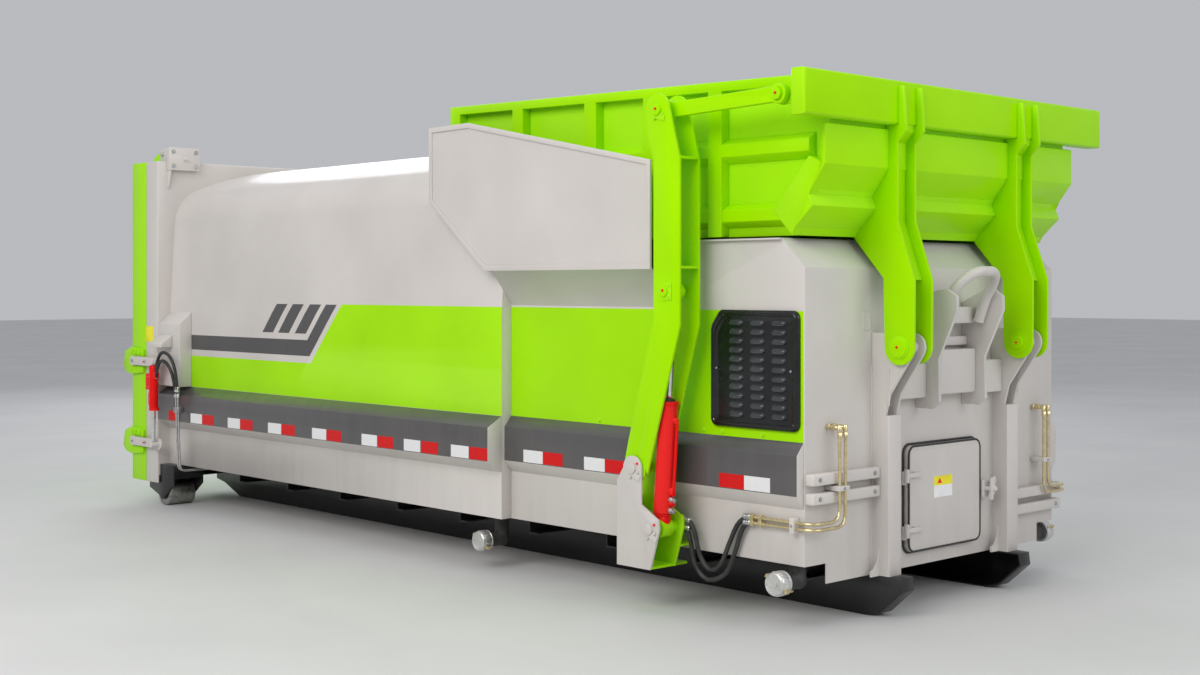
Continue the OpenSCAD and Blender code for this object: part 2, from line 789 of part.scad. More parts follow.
// Bent round bar that the truck's hook picks up
module hook_bar() {
    plate_y = hook_span / 2 - hook_plate_t / 2;
    y = plate_y - hook_r - bend_extra;
    color(paint_grey) {
        round_bar([
            [back(-20), -y, 1330], [back(-66), -y, 1455], [back(-140), -y + 62, hook_z - 20],
            [back(-160), -y + 100, hook_z], [back(-160), y - 100, hook_z], [back(-140), y - 62, hook_z - 20],
            [back(-66), y, 1455], [back(-20), y, 1330]
        ], hook_r);
        both_sides() block([back(-4), -plate_y, 1325], [back(-36), -y + 10, 1345]);
    }
}

// Box members that tie the hook plates to each other and to the columns
module hook_crossbeams() {
    y0 = hook_span / 2 - hook_plate_t / 2;
    y1 = hook_span / 2 + hook_plate_t / 2;
    color(paint_grey) {
        block([head_front, -y0, 990], [back(12), y0, 1200]);
        block([head_front, -y0, 1215], [back(60), y0, 1260]);
        block([back(70), -y0, 1322], [back(8), y0, 1400]);
        both_sides() block([head_front, -column_in_y, 980], [back(30), -y1, 1140]);
    }
}

// Short channel steps beside the columns
module step_bars() {
    color(paint_grey) {
        for (z = step_zs_left) block([head_front, -half_head, z], [head_front + 50, -column_out_y, z + 50]);
        for (z = step_zs_right) block([head_front, column_out_y, z], [head_front + 50, half_head, z + 50]);
    }
}

// Hard lines from the hose couplings round the front corner and up the front wall
module hydraulic_pipes() {
    color(zinc_yellow) both_sides() for (i = [0, 1]) {
        z = pipe_side_zs[i];
        round_bar([
            [pipe_start_x, -pipe_y, z], [pipe_corner_x, -pipe_y, z], [pipe_corner_x, -pipe_front_ys[i], z],
            [pipe_corner_x, -pipe_front_ys[i], pipe_top_z]
        ], pipe_r);
        translate([pipe_corner_x, -pipe_front_ys[i], pipe_top_z]) rotate([0, 90, 0])
            translate([0, 0, head_front - pipe_corner_x])
                cylinder(r = 15, h = pipe_corner_x - head_front + 12);
        translate([pipe_start_x - 4, -pipe_y, z]) rotate([0, 90, 0]) cylinder(r = 14, h = 60);
    }
    color(paint_grey) both_sides() {
        block([back(160), -pipe_y - pipe_r - 3, pipe_side_zs[1] - 20],
              [back(130), -half_head, pipe_side_zs[0] + 20]);
        block([head_front, -pipe_front_ys[0] - 20, 600],
              [pipe_corner_x + pipe_r + 3, -pipe_front_ys[1] + 20, 630]);
    }
}

module service_door() {
    color(paint_grey) {
        translate([head_front + service_gap, 0, 0]) rotate([90, 0, 90]) linear_extrude(service_t) {
            translate([-service_w / 2, service_z + service_r]) square([service_w, service_h - 2 * service_r]);
            translate([-service_w / 2 + service_r, service_z]) square([service_w - 2 * service_r, service_h]);
            for (y = [-1, 1]) for (z = [service_z + service_r, service_z + service_h - service_r])
                translate([y * (service_w / 2 - service_r), z]) circle(r = service_r);
        }
        for (z = service_hinge_zs) difference() {
            union() {
                translate([service_hinge_p[0], service_hinge_p[1], z]) cylinder(r = 12, h = 40);
                block([service_hinge_p[0] + 2, service_hinge_p[1], z],
                      [head_front + service_gap + service_t, -service_w / 2 + 30, z + 40]);
            }
            translate([service_hinge_p[0], service_hinge_p[1], z - 1]) cylinder(r = 6 + pin_gap, h = 42);
        }
    }
}

// Swing latch beside the service door, with the fixed halves of its hinges
module service_latch() {
    y = service_w / 2 + 8;
    color(paint_grey) {
        block([head_front, y, 465], [head_front + 40, y + 70, 550]);
        translate([head_front + 40, y + 32, 508]) rotate([0, 90, 0]) cylinder(r = 13, h = 26);
        block([head_front + 66, y + 22, 455], [head_front + 76, y + 42, 562]);
        for (z = service_hinge_zs) {
            translate([service_hinge_p[0], service_hinge_p[1], z - 22]) cylinder(r = 12, h = 21.7);
            translate([service_hinge_p[0], service_hinge_p[1], z - 22]) cylinder(r = 6, h = 62);
            block([head_front, service_hinge_p[1] - 12, z - 22],
                  [service_hinge_p[0], service_hinge_p[1], z - 0.3]);
        }
    }
}

// ---- Hopper ----

function hopper_top(x) = hopper_top_z + hopper_rise * (hopper_front - x) / hopper_len;

// Folded sheet shell of the hopper, open at its mouth
module hopper_shell() {
    t = hopper_t;
    color(lime) difference() {
        sheet_xz(-hopper_side_y, 2 * hopper_side_y) polygon(hopper_outline);
        sheet_xz(-hopper_side_y + t, 2 * hopper_side_y - 2 * t) polygon([
            [hopper_rear + t, hopper_top(hopper_rear) - t], [hopper_front - t, hopper_top_z - t],
            [hopper_front - t, hopper_knee_z], [mouth_front - t, mouth_z], [mouth_front - t, mouth_z - 9],
            [mouth_rear + t, mouth_z - 9], [mouth_rear + t, mouth_z],
            [hopper_rear + t, hopper_rear_knee_z + 2]
        ]);
    }
}

// Outside stiffening of the hopper: uprights, top rail, waist rail, foot rail and slanted front rib
module hopper_ribs() {
    d = hopper_rib_d;
    y = hopper_side_y;
    color(lime) {
        both_sides() {
            sheet_xz(-y - d, d) intersection() {
                polygon(hopper_outline);
                union() {
                    for (x = rib_xs) translate([x, mouth_z]) square([rib_w, 900]);
                    polygon([
                        [hopper_rear, hopper_top(hopper_rear) + 50], [back(14), hopper_top(back(14)) + 50],
                        [back(14), hopper_top(back(14)) - rail_h],
                        [hopper_rear, hopper_top(hopper_rear) - rail_h]
                    ]);
                }
            }
            along_x(hopper_rear + rib_w, back(72)) polygon([
                [-y, 2172], [-y - d, 2140], [-y - d, 2086], [-y, 2054]
            ]);
            along_x(mouth_rear, back(190)) polygon([
                [-y, 1872], [-y - d + 8, 1842], [-y - d + 8, 1790], [-y, 1762]
            ]);
            sheet_xz(-y - d, d) polygon([
                [back(72), 2064], [hopper_front, hopper_knee_z], [mouth_front, mouth_z],
                [back(276), mouth_z + 112]
            ]);
        }
        sheet_xz(-half_hopper, 2 * half_hopper) polygon(brow_outline);
        sheet_xz(-half_hopper, 2 * half_hopper) polygon(lip_outline);
    }
}

module hopper_beam() {
    y = half_beam;
    x0 = beam_front - beam_d;
    w = 8;
    color(lime) {
        difference() {
            block([hopper_front, -y, beam_low_z], [beam_front, y, beam_top_z]);
            block([hopper_front - 1, -hopper_side_y + w, beam_low_z + w],
                  [beam_front - w, hopper_side_y - w, beam_top_z - w]);
        }
        both_sides() {
            block([x0, -y, beam_low_z], [hopper_front, -half_hopper, beam_top_z]);
            sheet_xz(-lane_y + link_t / 2 + side_gap, lift_t) {
                translate(link_end) circle(r = 46);
                polygon([
                    link_end + [0, 46], [x0, beam_top_z - 20], [x0, beam_top_z - 140], link_end + [0, -46]
                ]);
            }
            pin_y(link_end, lift_pin_r, -lane_y - link_t / 2 - 14, -lane_y + link_t / 2 + side_gap);
        }
    }
}

// Two-plate arms that hang the hopper on its pivots, closed in front by a folded cover
module hopper_arms() {
    outline = concat(arm_front_edge, [
        [back(5), hopper_pivot[1]], [back(12), 1535], [mouth_front - 8, mouth_z - 4],
        [mouth_front, mouth_z - 4], [mouth_front, mouth_z], lip_outline[2], lip_outline[1], lip_outline[0],
        brow_outline[3], brow_outline[2], brow_outline[1], brow_outline[0], [hopper_front, beam_low_z],
        [beam_front, beam_low_z], [beam_front, 2392]
    ]);
    out_y = hopper_arm_span / 2 + hopper_arm_gap / 2;
    in_y = hopper_arm_span / 2 - hopper_arm_gap / 2 - hopper_arm_t;
    color(lime) both_sides() {
        for (y = [in_y, out_y]) difference() {
            sheet_xz(-y - hopper_arm_t, hopper_arm_t) {
                polygon(outline);
                translate([(arm_front_edge[5][0] + back(5)) / 2, 1225]) circle(r = 79);
            }
            pin_y(hopper_pivot, hopper_pin_r + pin_gap, -y - hopper_arm_t - 1, -y + 1);
        }
        sheet_xz(-out_y, hopper_arm_gap) polygon(concat(
            [for (i = [0 : 4]) arm_front_edge[i]],
            [for (i = [4 : -1 : 0]) arm_front_edge[i] - [arm_cover_t, 0]]
        ));
    }
}

// ---- Lift ----

// Gray foot brackets that carry the lift arms and the lower ends of the cylinders
module lift_brackets() {
    outline = [
        [back(1007), 207], [back(790), 207], [back(733), 395], [back(739), 440], [back(849), 500],
        [back(849), 661], [back(965), 661], [back(1007), 600]
    ];
    color(paint_grey) both_sides() {
        for (y = [inner_bracket_y, outer_bracket_y]) sheet_xz(-y - lift_t, lift_t) {
            polygon(outline);
            translate(arm_foot) circle(r = 58);
        }
        block([back(1007), -outer_bracket_y, 207], [back(795), -half_head, 219]);
        block([back(1007), -outer_bracket_y, 219], [back(997), -half_head, rail_low_z - 7]);
        block([back(997), -inner_bracket_y, 300], [back(760), -half_head, 312]);
        block([2172, -inner_bracket_y, 374], [2195, -inner_bracket_y + 24, 446]);
        pin_y(arm_foot, lift_pin_r, -lift_out_y - 10, -inner_bracket_y);
        pin_y(barrel_foot, lift_pin_r, -lift_out_y - 10, -inner_bracket_y);
    }
}

module lift_arm() {
    webs = [[2072, 2084], [1578, 1590]];
    color(lime) difference() {
        union() {
            for (y = [inner_arm_y, outer_arm_y]) sheet_xz(-y - lift_t, lift_t) {
                polygon(arm_outline);
                translate(arm_head) circle(r = 74);
                translate(arm_foot) circle(r = 71);
            }
            for (z = webs) block([back(784), -outer_arm_y, z[0]], [back(620), -inner_arm_y - lift_t, z[1]]);
            pin_y(arm_head, lift_pin_r, -outer_arm_y - lift_t - 12, -outer_arm_y - lift_t);
            pin_y(rod_eye, 44, -outer_arm_y - lift_t - 4, -outer_arm_y - lift_t);
            pin_y(rod_eye, 24, -outer_arm_y - lift_t - 12, -outer_arm_y - lift_t);
        }
        pin_y(arm_foot, lift_pin_r + pin_gap, -outer_arm_y - 20, -inner_arm_y + 1);
    }
}
module lift_arm_left() { lift_arm(); }
module lift_arm_right() { mirror([0, 1, 0]) lift_arm(); }

// Tie between the head of the lift arm and the rear of the hopper beam
module tie_link(side) {
    y0 = side * lane_y - link_t / 2;
    stub = lift_gap / 2 - side_gap - 0.5;
    color(lime) {
        difference() {
            sheet_xz(y0, link_t) {
                translate(arm_head) circle(r = 52);
                translate(link_end) circle(r = 44);
                polygon([
                    arm_head + [10, link_half_h], link_end + [-10, link_half_h],
                    link_end + [-10, -link_half_h], arm_head + [10, -link_half_h]
                ]);
            }
            pin_y(link_end, lift_pin_r + pin_gap, y0 - 1, y0 + link_t + 1);
        }
        pin_y(arm_head, lift_pin_r, side * lane_y - stub, side * lane_y + stub);
    }
}
module tie_link_left() { tie_link(-1); }
module tie_link_right() { tie_link(1); }

// Places children at a distance from the lower pin along the lift cylinder
module on_cylinder(side, d) {
    p = barrel_foot + d * barrel_dir;
    translate([p[0], side * lane_y, p[1]]) rotate([0, 90 - barrel_angle, 0]) children();
}

module lift_barrel(side) {
    color(cylinder_red) {
        difference() {
            union() {
                on_cylinder(side, 0) cylinder(r = barrel_r, h = barrel_len - 40);
                on_cylinder(side, barrel_len - 60) cylinder(r = gland_r, h = 60);
                pin_y(barrel_foot, 44, side * lane_y - 34, side * lane_y + 34);
                for (d = [port_d, port_d + 46])
                    on_cylinder(side, d) rotate([0, 90, 0]) cylinder(r = 13, h = 66);
            }
            pin_y(barrel_foot, lift_pin_r + pin_gap, side * lane_y - 60, side * lane_y + 60);
            on_cylinder(side, bore_start) cylinder(r = rod_r + pin_gap, h = barrel_len);
        }
    }
}
module lift_barrel_left() { lift_barrel(-1); }
module lift_barrel_right() { lift_barrel(1); }

module lift_rod(side) {
    total = norm(rod_eye - barrel_foot);
    color(rod_chrome) {
        on_cylinder(side, barrel_len - rod_inside)
            cylinder(r = rod_r, h = total - barrel_len + rod_inside - 20);
        pin_y(rod_eye, 40, side * lane_y - 26, side * lane_y + 26);
        pin_y(rod_eye, 22, side * lane_y - lift_gap / 2 + side_gap + 0.5,
              side * lane_y + lift_gap / 2 - side_gap - 0.5);
    }
}
module lift_rod_left() { lift_rod(-1); }
module lift_rod_right() { lift_rod(1); }

// Route of a pressure hose from the bracket to the hard lines, as [x, y, z] on the left side
function cross3(a, b) = [a[1] * b[2] - a[2] * b[1], a[2] * b[0] - a[0] * b[2], a[0] * b[1] - a[1] * b[0]];
function unit(v) = v / norm(v);
function spline(p0, p1, p2, p3, t) = 0.5 * (2 * p1 + (p2 - p0) * t
    + (2 * p0 - 5 * p1 + 4 * p2 - p3) * t * t + (3 * p1 - p0 - 3 * p2 + p3) * t * t * t);
function smooth(path) = concat(
    [for (i = [0 : len(path) - 2]) for (k = [0 : hose_steps - 1])
        spline(path[max(i - 1, 0)], path[i], path[i + 1], path[min(i + 2, len(path) - 1)], k / hose_steps)],
    [path[len(path) - 1]]
);

module tube(path, r) {
    n = len(path);
    rings = [for (i = [0 : n - 1])
        let (t = unit(path[min(i + 1, n - 1)] - path[max(i - 1, 0)]),
             a = unit(cross3(t, [0, 1, 0])), b = cross3(t, a))
        for (k = [0 : hose_sides - 1]) let (turn = 360 * k / hose_sides)
            path[i] + r * cos(turn) * a + r * sin(turn) * b];
    sides = [for (i = [0 : n - 2]) for (k = [0 : hose_sides - 1])
        [i * hose_sides + k, i * hose_sides + (k + 1) % hose_sides,
         (i + 1) * hose_sides + (k + 1) % hose_sides, (i + 1) * hose_sides + k]];
    polyhedron(rings, concat(sides, [
        [for (k = [hose_sides - 1 : -1 : 0]) k], [for (k = [0 : hose_sides - 1]) (n - 1) * hose_sides + k]
    ]));
}

module lift_hoses() {
    color(rubber_black) both_sides() for (route = hose_routes) tube(smooth(route), hose_r);
}

container_shell();
container_floor();
container_bulkhead();
rear_frame();
door_hinge_brackets();
head_shell();
head_floor();
head_decks();
packer_ram();
power_pack();
rub_rails();
chute_guards();
vent_panels();
skid_rails();
crossmembers();
roller_brackets();
rear_roller_left();
rear_roller_right();
drain_fittings();
hook_columns();
hook_plates();
hook_bar();
hook_crossbeams();
step_bars();
hydraulic_pipes();
lift_brackets();
lift_hoses();
lift_arm_left();
lift_arm_right();
tie_link_left();
tie_link_right();
lift_barrel_left();
lift_barrel_right();
lift_rod_left();
lift_rod_right();
hopper_shell();
hopper_ribs();
hopper_beam();
hopper_arms();
rear_door();
rear_door_ears();
latch_levers();
latch_cylinders();
latch_covers();
service_door();
service_latch();
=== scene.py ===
"""Mobile waste compactor container: paint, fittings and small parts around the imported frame."""

import json
import math

import bmesh
import bpy
from mathutils import Matrix, Vector

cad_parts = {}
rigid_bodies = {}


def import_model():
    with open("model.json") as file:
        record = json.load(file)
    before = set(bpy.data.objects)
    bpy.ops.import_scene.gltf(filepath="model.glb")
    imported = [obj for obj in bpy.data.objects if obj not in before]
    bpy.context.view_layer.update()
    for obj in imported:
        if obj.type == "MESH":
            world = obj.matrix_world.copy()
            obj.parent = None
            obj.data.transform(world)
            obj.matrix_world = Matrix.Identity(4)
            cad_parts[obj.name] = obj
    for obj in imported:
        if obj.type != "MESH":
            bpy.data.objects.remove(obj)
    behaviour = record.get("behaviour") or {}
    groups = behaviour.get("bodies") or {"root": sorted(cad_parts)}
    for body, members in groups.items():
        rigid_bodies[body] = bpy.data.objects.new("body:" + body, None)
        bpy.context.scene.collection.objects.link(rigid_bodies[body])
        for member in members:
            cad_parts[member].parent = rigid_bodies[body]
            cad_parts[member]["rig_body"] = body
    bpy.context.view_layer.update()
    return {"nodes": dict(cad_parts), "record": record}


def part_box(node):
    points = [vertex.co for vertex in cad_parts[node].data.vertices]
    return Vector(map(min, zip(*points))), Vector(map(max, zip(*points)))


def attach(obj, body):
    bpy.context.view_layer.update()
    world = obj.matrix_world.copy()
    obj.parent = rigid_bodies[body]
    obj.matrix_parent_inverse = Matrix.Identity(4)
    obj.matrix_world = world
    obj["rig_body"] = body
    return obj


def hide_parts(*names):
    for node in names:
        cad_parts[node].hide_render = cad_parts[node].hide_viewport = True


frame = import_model()

bl_info = {
    "name": "Waste Compactor Builder",
    "version": (1, 0, 0),
    "blender": (4, 5, 0),
    "location": "View3D > Sidebar > Compactor",
    "description": "Builds the visible pieces of a hook-lift waste compactor around its frame",
    "category": "Object",
}

# Stations, half widths and levels, in metres
BODY_REAR, BODY_FRONT = (corner.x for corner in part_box("container_shell"))
LATCH_COVER_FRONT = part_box("latch_covers")[1].x
HEAD_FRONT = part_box("head_shell")[1].x
HEAD_SIDE = 1.010
NOSE = 2.960
LIFT_LANE = 1.1765
LATCH_LEVELS = (0.980, 0.424)
# Pivots as x and z
PINS = {
    "arm_foot": (2.053, 0.661), "barrel_foot": (2.163, 0.392), "arm_head": (2.200, 2.300),
    "rod_eye": (2.246, 1.476), "link_end": (2.865, 2.319), "hopper_pivot": (3.034, 1.225),
}
SIDES = (-1, 1)
HANDS = ((-1, "left"), (1, "right"))
FORWARD = Vector((1, 0, 0))
UP = Vector((0, 0, 1))
# The record's slot that a finish belongs to, unless a piece names another
SLOTS = {
    "grey": "grey_paint", "lime": "lime_paint", "red": "red_paint", "steel": "grey_paint",
    "yellow": "grey_paint", "brass": "zinc_yellow", "alloy": "cap_aluminium", "gasket": "hose_rubber",
    "rubber": "hose_rubber", "white_tape": "band_paint", "red_tape": "band_paint",
}
MATERIALS = {}


def back(distance):
    """Station a given distance behind the faces of the hook columns."""
    return NOSE - distance


def outward(side):
    """Direction away from the middle, or a step that way if a distance is given with the side's sign."""
    return Vector((0, side, 0))


# ---------------------------------------------------------------- settings


class CompactorPaint(bpy.types.PropertyGroup):
    lime: bpy.props.FloatVectorProperty(
        name="Lime", description="Colour of the hopper, arms and tailgate", subtype="COLOR", size=3,
        min=0, max=1, default=(0.37, 0.80, 0.0))
    grey: bpy.props.FloatVectorProperty(
        name="Grey", description="Colour of the body", subtype="COLOR", size=3, min=0, max=1,
        default=(0.62, 0.585, 0.555))
    band: bpy.props.FloatVectorProperty(
        name="Band", description="Colour of the dark bands", subtype="COLOR", size=3, min=0, max=1,
        default=(0.078, 0.074, 0.076))
    red: bpy.props.FloatVectorProperty(
        name="Red", description="Colour of the cylinders", subtype="COLOR", size=3, min=0, max=1,
        default=(0.80, 0.004, 0.003))
    dust: bpy.props.FloatProperty(
        name="Dust", description="How much dust lies low on the body", subtype="FACTOR", min=0, max=1,
        default=0.3)


class CompactorSizes(bpy.types.PropertyGroup):
    edge: bpy.props.FloatProperty(
        name="Edge radius", description="Rounding of cut plate edges", subtype="DISTANCE", unit="LENGTH",
        min=0.0002, max=0.01, default=0.0012)
    louvre_rows: bpy.props.IntProperty(
        name="Louvre rows", description="Rows of louvres in a vent", min=1, max=20, default=11)
    louvre_pitch: bpy.props.FloatProperty(
        name="Louvre pitch", description="Height from one louvre to the next", subtype="DISTANCE",
        unit="LENGTH", min=0.02, max=0.1, default=0.0412)
    hose: bpy.props.FloatProperty(
        name="Hose radius", description="Radius of the latch hoses", subtype="DISTANCE", unit="LENGTH",
        min=0.005, max=0.03, default=0.011)


class CompactorStage(bpy.types.PropertyGroup):
    lens: bpy.props.FloatProperty(
        name="Lens", description="Focal length of the camera in millimetres", min=10, max=200,
        default=46.85)
    azimuth: bpy.props.FloatProperty(
        name="Azimuth", description="Turn of the camera about the vertical", subtype="ANGLE",
        default=math.radians(46.76))
    key: bpy.props.FloatProperty(
        name="Key light", description="Power of the main softbox", unit="POWER", min=0, default=600)
    sky: bpy.props.FloatProperty(
        name="Sky", description="Brightness of the surroundings", min=0, max=5, default=0.52)


# ---------------------------------------------------------------- node tools


def node(tree, kind, **values):
    """Adds a node, sets its properties, and sets its inputs or links them to sockets."""
    made = tree.nodes.new(kind)
    for key, value in values.items():
        if key not in made.inputs:
            setattr(made, key, value)
        elif isinstance(value, bpy.types.NodeSocket):
            tree.links.new(value, made.inputs[key])
        else:
            made.inputs[key].default_value = value
    return made


def remap(tree, value, low, high, to_low=0.0, to_high=1.0):
    made = node(tree, "ShaderNodeMapRange", Value=value)
    for index, number in enumerate((low, high, to_low, to_high), start=1):
        made.inputs[index].default_value = number
    return made.outputs[0]


def math_node(tree, operation, a, b, clamp=True):
    """Combines two values, each a socket or a number."""
    made = node(tree, "ShaderNodeMath", operation=operation, use_clamp=clamp)
    for socket, value in zip(made.inputs, (a, b)):
        if isinstance(value, bpy.types.NodeSocket):
            tree.links.new(value, socket)
        else:
            socket.default_value = value
    return made.outputs[0]


# ---------------------------------------------------------------- materials


def new_material(name):
    """An empty material with its tree, its surface shader and its object coordinates."""
    material = bpy.data.materials.new(name)
    material.use_nodes = True
    tree = material.node_tree
    tree.nodes.clear()
    shader = node(tree, "ShaderNodeBsdfPrincipled")
    node(tree, "ShaderNodeOutputMaterial", Surface=shader.outputs[0])
    return material, tree, shader, node(tree, "ShaderNodeTexCoord").outputs["Object"]


def noise(tree, place, scale, detail, roughness=0.5, stretch=None):
    """Fractal noise on object coordinates, stretched along the axes if asked."""
    if stretch:
        place = node(tree, "ShaderNodeMapping", Vector=place, Scale=stretch).outputs[0]
    return node(tree, "ShaderNodeTexNoise", Vector=place, Scale=scale, Detail=detail,
                Roughness=roughness).outputs["Fac"]


def mottle(tree, place, scale, detail, low=0.0, high=1.0):
    """Noise whose usual range runs from low to high."""
    return remap(tree, noise(tree, place, scale, detail), 0.3, 0.7, low, high)


def mix(tree, factor, a, b):
    """Mixes two colours, each a socket or three numbers."""
    made = node(tree, "ShaderNodeMix", data_type="RGBA")
    tree.links.new(factor, made.inputs[0])
    for socket, value in zip([s for s in made.inputs if s.type == "RGBA"], (a, b)):
        if isinstance(value, bpy.types.NodeSocket):
            tree.links.new(value, socket)
        else:
            socket.default_value = (*value[:3], 1)
    return [s for s in made.outputs if s.type == "RGBA"][0]


def surface(tree, shader, colour, rough):
    tree.links.new(colour, shader.inputs["Base Color"])
    tree.links.new(rough, shader.inputs["Roughness"])


def bump(tree, shader, height, strength, distance, under=None):
    """Bumps the surface, on top of another bump if one is given."""
    made = node(tree, "ShaderNodeBump", Strength=strength, Distance=distance, Height=height)
    if under:
        tree.links.new(under, made.inputs["Normal"])
    tree.links.new(made.outputs[0], shader.inputs["Normal"])
    return made.outputs[0]


def scaled(colour, factor):
    return tuple(min(1.0, c * factor) for c in colour[:3])


def paint(name, colour, gloss, coat, dust, shine=0.35, tint=(1, 1, 1), dirt=(0.33, 0.30, 0.26)):
    """Sprayed enamel: faint cloudiness, orange peel, dust low down, thin lighter edges."""
    material, tree, shader, place = new_material(name)
    tone = mix(tree, mottle(tree, place, 1.7, 4), scaled(colour, 0.93), scaled(colour, 1.05))
    pointed = node(tree, "ShaderNodeNewGeometry").outputs["Pointiness"]
    edge = math_node(tree, "MULTIPLY", remap(tree, pointed, 0.53, 0.62), 0.22)
    tone = mix(tree, edge, tone, scaled([c + 0.08 for c in colour], 1.25))
    height = node(tree, "ShaderNodeSeparateXYZ", Vector=place).outputs["Z"]
    streak = remap(tree, noise(tree, place, 2.2, 5, 0.6, (6.0, 6.0, 0.45)), 0.35, 0.75, 0.0, 0.55 * dust)
    film = math_node(tree, "MULTIPLY", remap(tree, height, 0.15, 1.1, 1.0, 0.0), streak)
    rough = math_node(tree, "ADD", mottle(tree, place, 9, 4, gloss - 0.05, gloss + 0.07),
                      math_node(tree, "MULTIPLY", film, 0.6))
    surface(tree, shader, mix(tree, film, tone, dirt), rough)
    shader.inputs["Specular IOR Level"].default_value = shine
    shader.inputs["Specular Tint"].default_value = (*tint, 1)
    shader.inputs["Coat Weight"].default_value = coat
    shader.inputs["Coat Roughness"].default_value = 0.12
    dents = bump(tree, shader, noise(tree, place, 2.3, 1), 0.06, 0.01)
    bump(tree, shader, noise(tree, place, 260, 2), 0.03, 0.0005, dents)
    return material


def metal(name, colour, roughness, brushed=(1, 1, 1), stain=None, stain_amount=0.35):
    """Bare or plated metal with brushing and stains."""
    material, tree, shader, place = new_material(name)
    shader.inputs["Metallic"].default_value = 1.0
    patch = remap(tree, noise(tree, place, 24, 5, 0.6), 0.35, 0.7)
    tone = mix(tree, patch, scaled(colour, 0.82), scaled(colour, 1.08))
    if stain:
        blot = remap(tree, noise(tree, place, 38, 6, 0.7), 0.5, 0.68, 0, stain_amount)
        tone = mix(tree, blot, tone, stain)
    grain = noise(tree, place, 130, 3, 0.6, brushed)
    surface(tree, shader, tone, remap(tree, grain, 0.3, 0.7, roughness - 0.1, roughness + 0.12))
    bump(tree, shader, grain, 0.10, 0.0006)
    return material


def rubber(name, colour=(0.017, 0.017, 0.018), roughness=0.55, grain=900.0):
    """Dusty black rubber with a fine grain."""
    material, tree, shader, place = new_material(name)
    dusty = remap(tree, noise(tree, place, 30, 5, 0.65), 0.42, 0.75, 0.0, 0.5)
    surface(tree, shader, mix(tree, dusty, colour, (0.085, 0.08, 0.07)),
            mottle(tree, place, 60, 3, roughness - 0.12, roughness + 0.12))
    bump(tree, shader, noise(tree, place, grain, 2), 0.25, 0.0006)
    return material


def plastic(name, colour, roughness):
    """Moulded plastic or a printed label, with a faint texture."""
    material, tree, shader, place = new_material(name)
    surface(tree, shader, mix(tree, mottle(tree, place, 6, 4), scaled(colour, 0.8), scaled(colour, 1.5)),
            mottle(tree, place, 14, 4, roughness - 0.08, roughness + 0.1))
    bump(tree, shader, noise(tree, place, 700, 2), 0.15, 0.0005)
    return material


def reflector(name, colour):
    """Prismatic tape: small cells under a clear face."""
    material, tree, shader, place = new_material(name)
    cell = node(tree, "ShaderNodeTexVoronoi", Vector=place, Scale=190).outputs["Distance"]
    surface(tree, shader, mix(tree, remap(tree, cell, 0.0, 0.6), scaled(colour, 1.0), scaled(colour, 0.86)),
            remap(tree, cell, 0, 0.6, 0.18, 0.32))
    shader.inputs["Coat Weight"].default_value = 0.12
    shader.inputs["Specular IOR Level"].default_value = 0.25
    bump(tree, shader, cell, 0.18, 0.0008)
    return material


def floor_material():
    material, tree, shader, place = new_material("pale_floor")
    surface(tree, shader, mix(tree, mottle(tree, place, 0.6, 5), (0.60, 0.60, 0.60), (0.66, 0.66, 0.655)),
            mottle(tree, place, 4, 5, 0.55, 0.7))
    bump(tree, shader, noise(tree, place, 80, 4), 0.05, 0.002)
    return material


# ---------------------------------------------------------------- pieces


def link_piece(name, mesh, body, slot, replaces):
    """Adds a finished mesh to the scene as a piece that rides on a body."""
    made = bpy.data.objects.new(name, mesh)
    bpy.context.scene.collection.objects.link(made)
    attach(made, body)
    if replaces:
        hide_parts(*replaces)
    return made


def smooth(mesh, angle):
    mesh.shade_smooth()
    mesh.set_sharp_from_angle(angle=math.radians(angle))


def plain_mesh(name, bm):
    mesh = bpy.data.meshes.new(name)
    bm.to_mesh(mesh)
    bm.free()
    return mesh


def piece(name, bm, finishes, body="root", slot=None, angle=40, replaces=()):
    """Makes a piece from a bmesh; its finishes are named in one string, in the order of their indices."""
    keys = finishes.split()
    mesh = plain_mesh(name, bm)
    for key in keys:
        mesh.materials.append(MATERIALS[key])
    smooth(mesh, angle)
    return link_piece(name, mesh, body, slot or SLOTS[keys[0]], replaces)


def slot_of(name):
    """The record's material slot of a CAD node."""
    return next(part["material_slot"] for part in frame["record"]["subparts"] if part["node"] == name)


def stand_in(name, bm, finishes, angle=35):
    """Makes the piece that replaces a CAD node, on the node's body."""
    body = frame["nodes"][name]["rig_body"]
    return piece(name + "_skin", bm, finishes, body, slot_of(name), angle, (name,))


def cad_copy(name):
    """A node's shape as a merged mesh whose flat faces are whole again."""
    bm = bmesh.new()
    bm.from_mesh(frame["nodes"][name].data)
    for layer in list(bm.loops.layers.uv):
        bm.loops.layers.uv.remove(layer)
    bmesh.ops.remove_doubles(bm, verts=bm.verts, dist=2e-5)
    bmesh.ops.dissolve_degenerate(bm, edges=bm.edges, dist=2e-5)
    bmesh.ops.dissolve_limit(bm, angle_limit=math.radians(0.6), verts=bm.verts, edges=bm.edges)
    return bm


def bevel(bm, edges, width, segments):
    bmesh.ops.bevel(bm, geom=edges, offset=width, offset_type="OFFSET", segments=segments, profile=0.5,
                    affect="EDGES", clamp_overlap=True)


def round_edges(bm, width, segments=2, keep=None):
    """Rounds the sharp outside edges, or those of them that keep(edge) picks."""
    sharp = math.radians(32)
    edges = [edge for edge in bm.edges if len(edge.link_faces) == 2
             and edge.calc_face_angle_signed(0) > sharp and (keep is None or keep(edge))]
    if edges:
        bevel(bm, edges, width, segments)


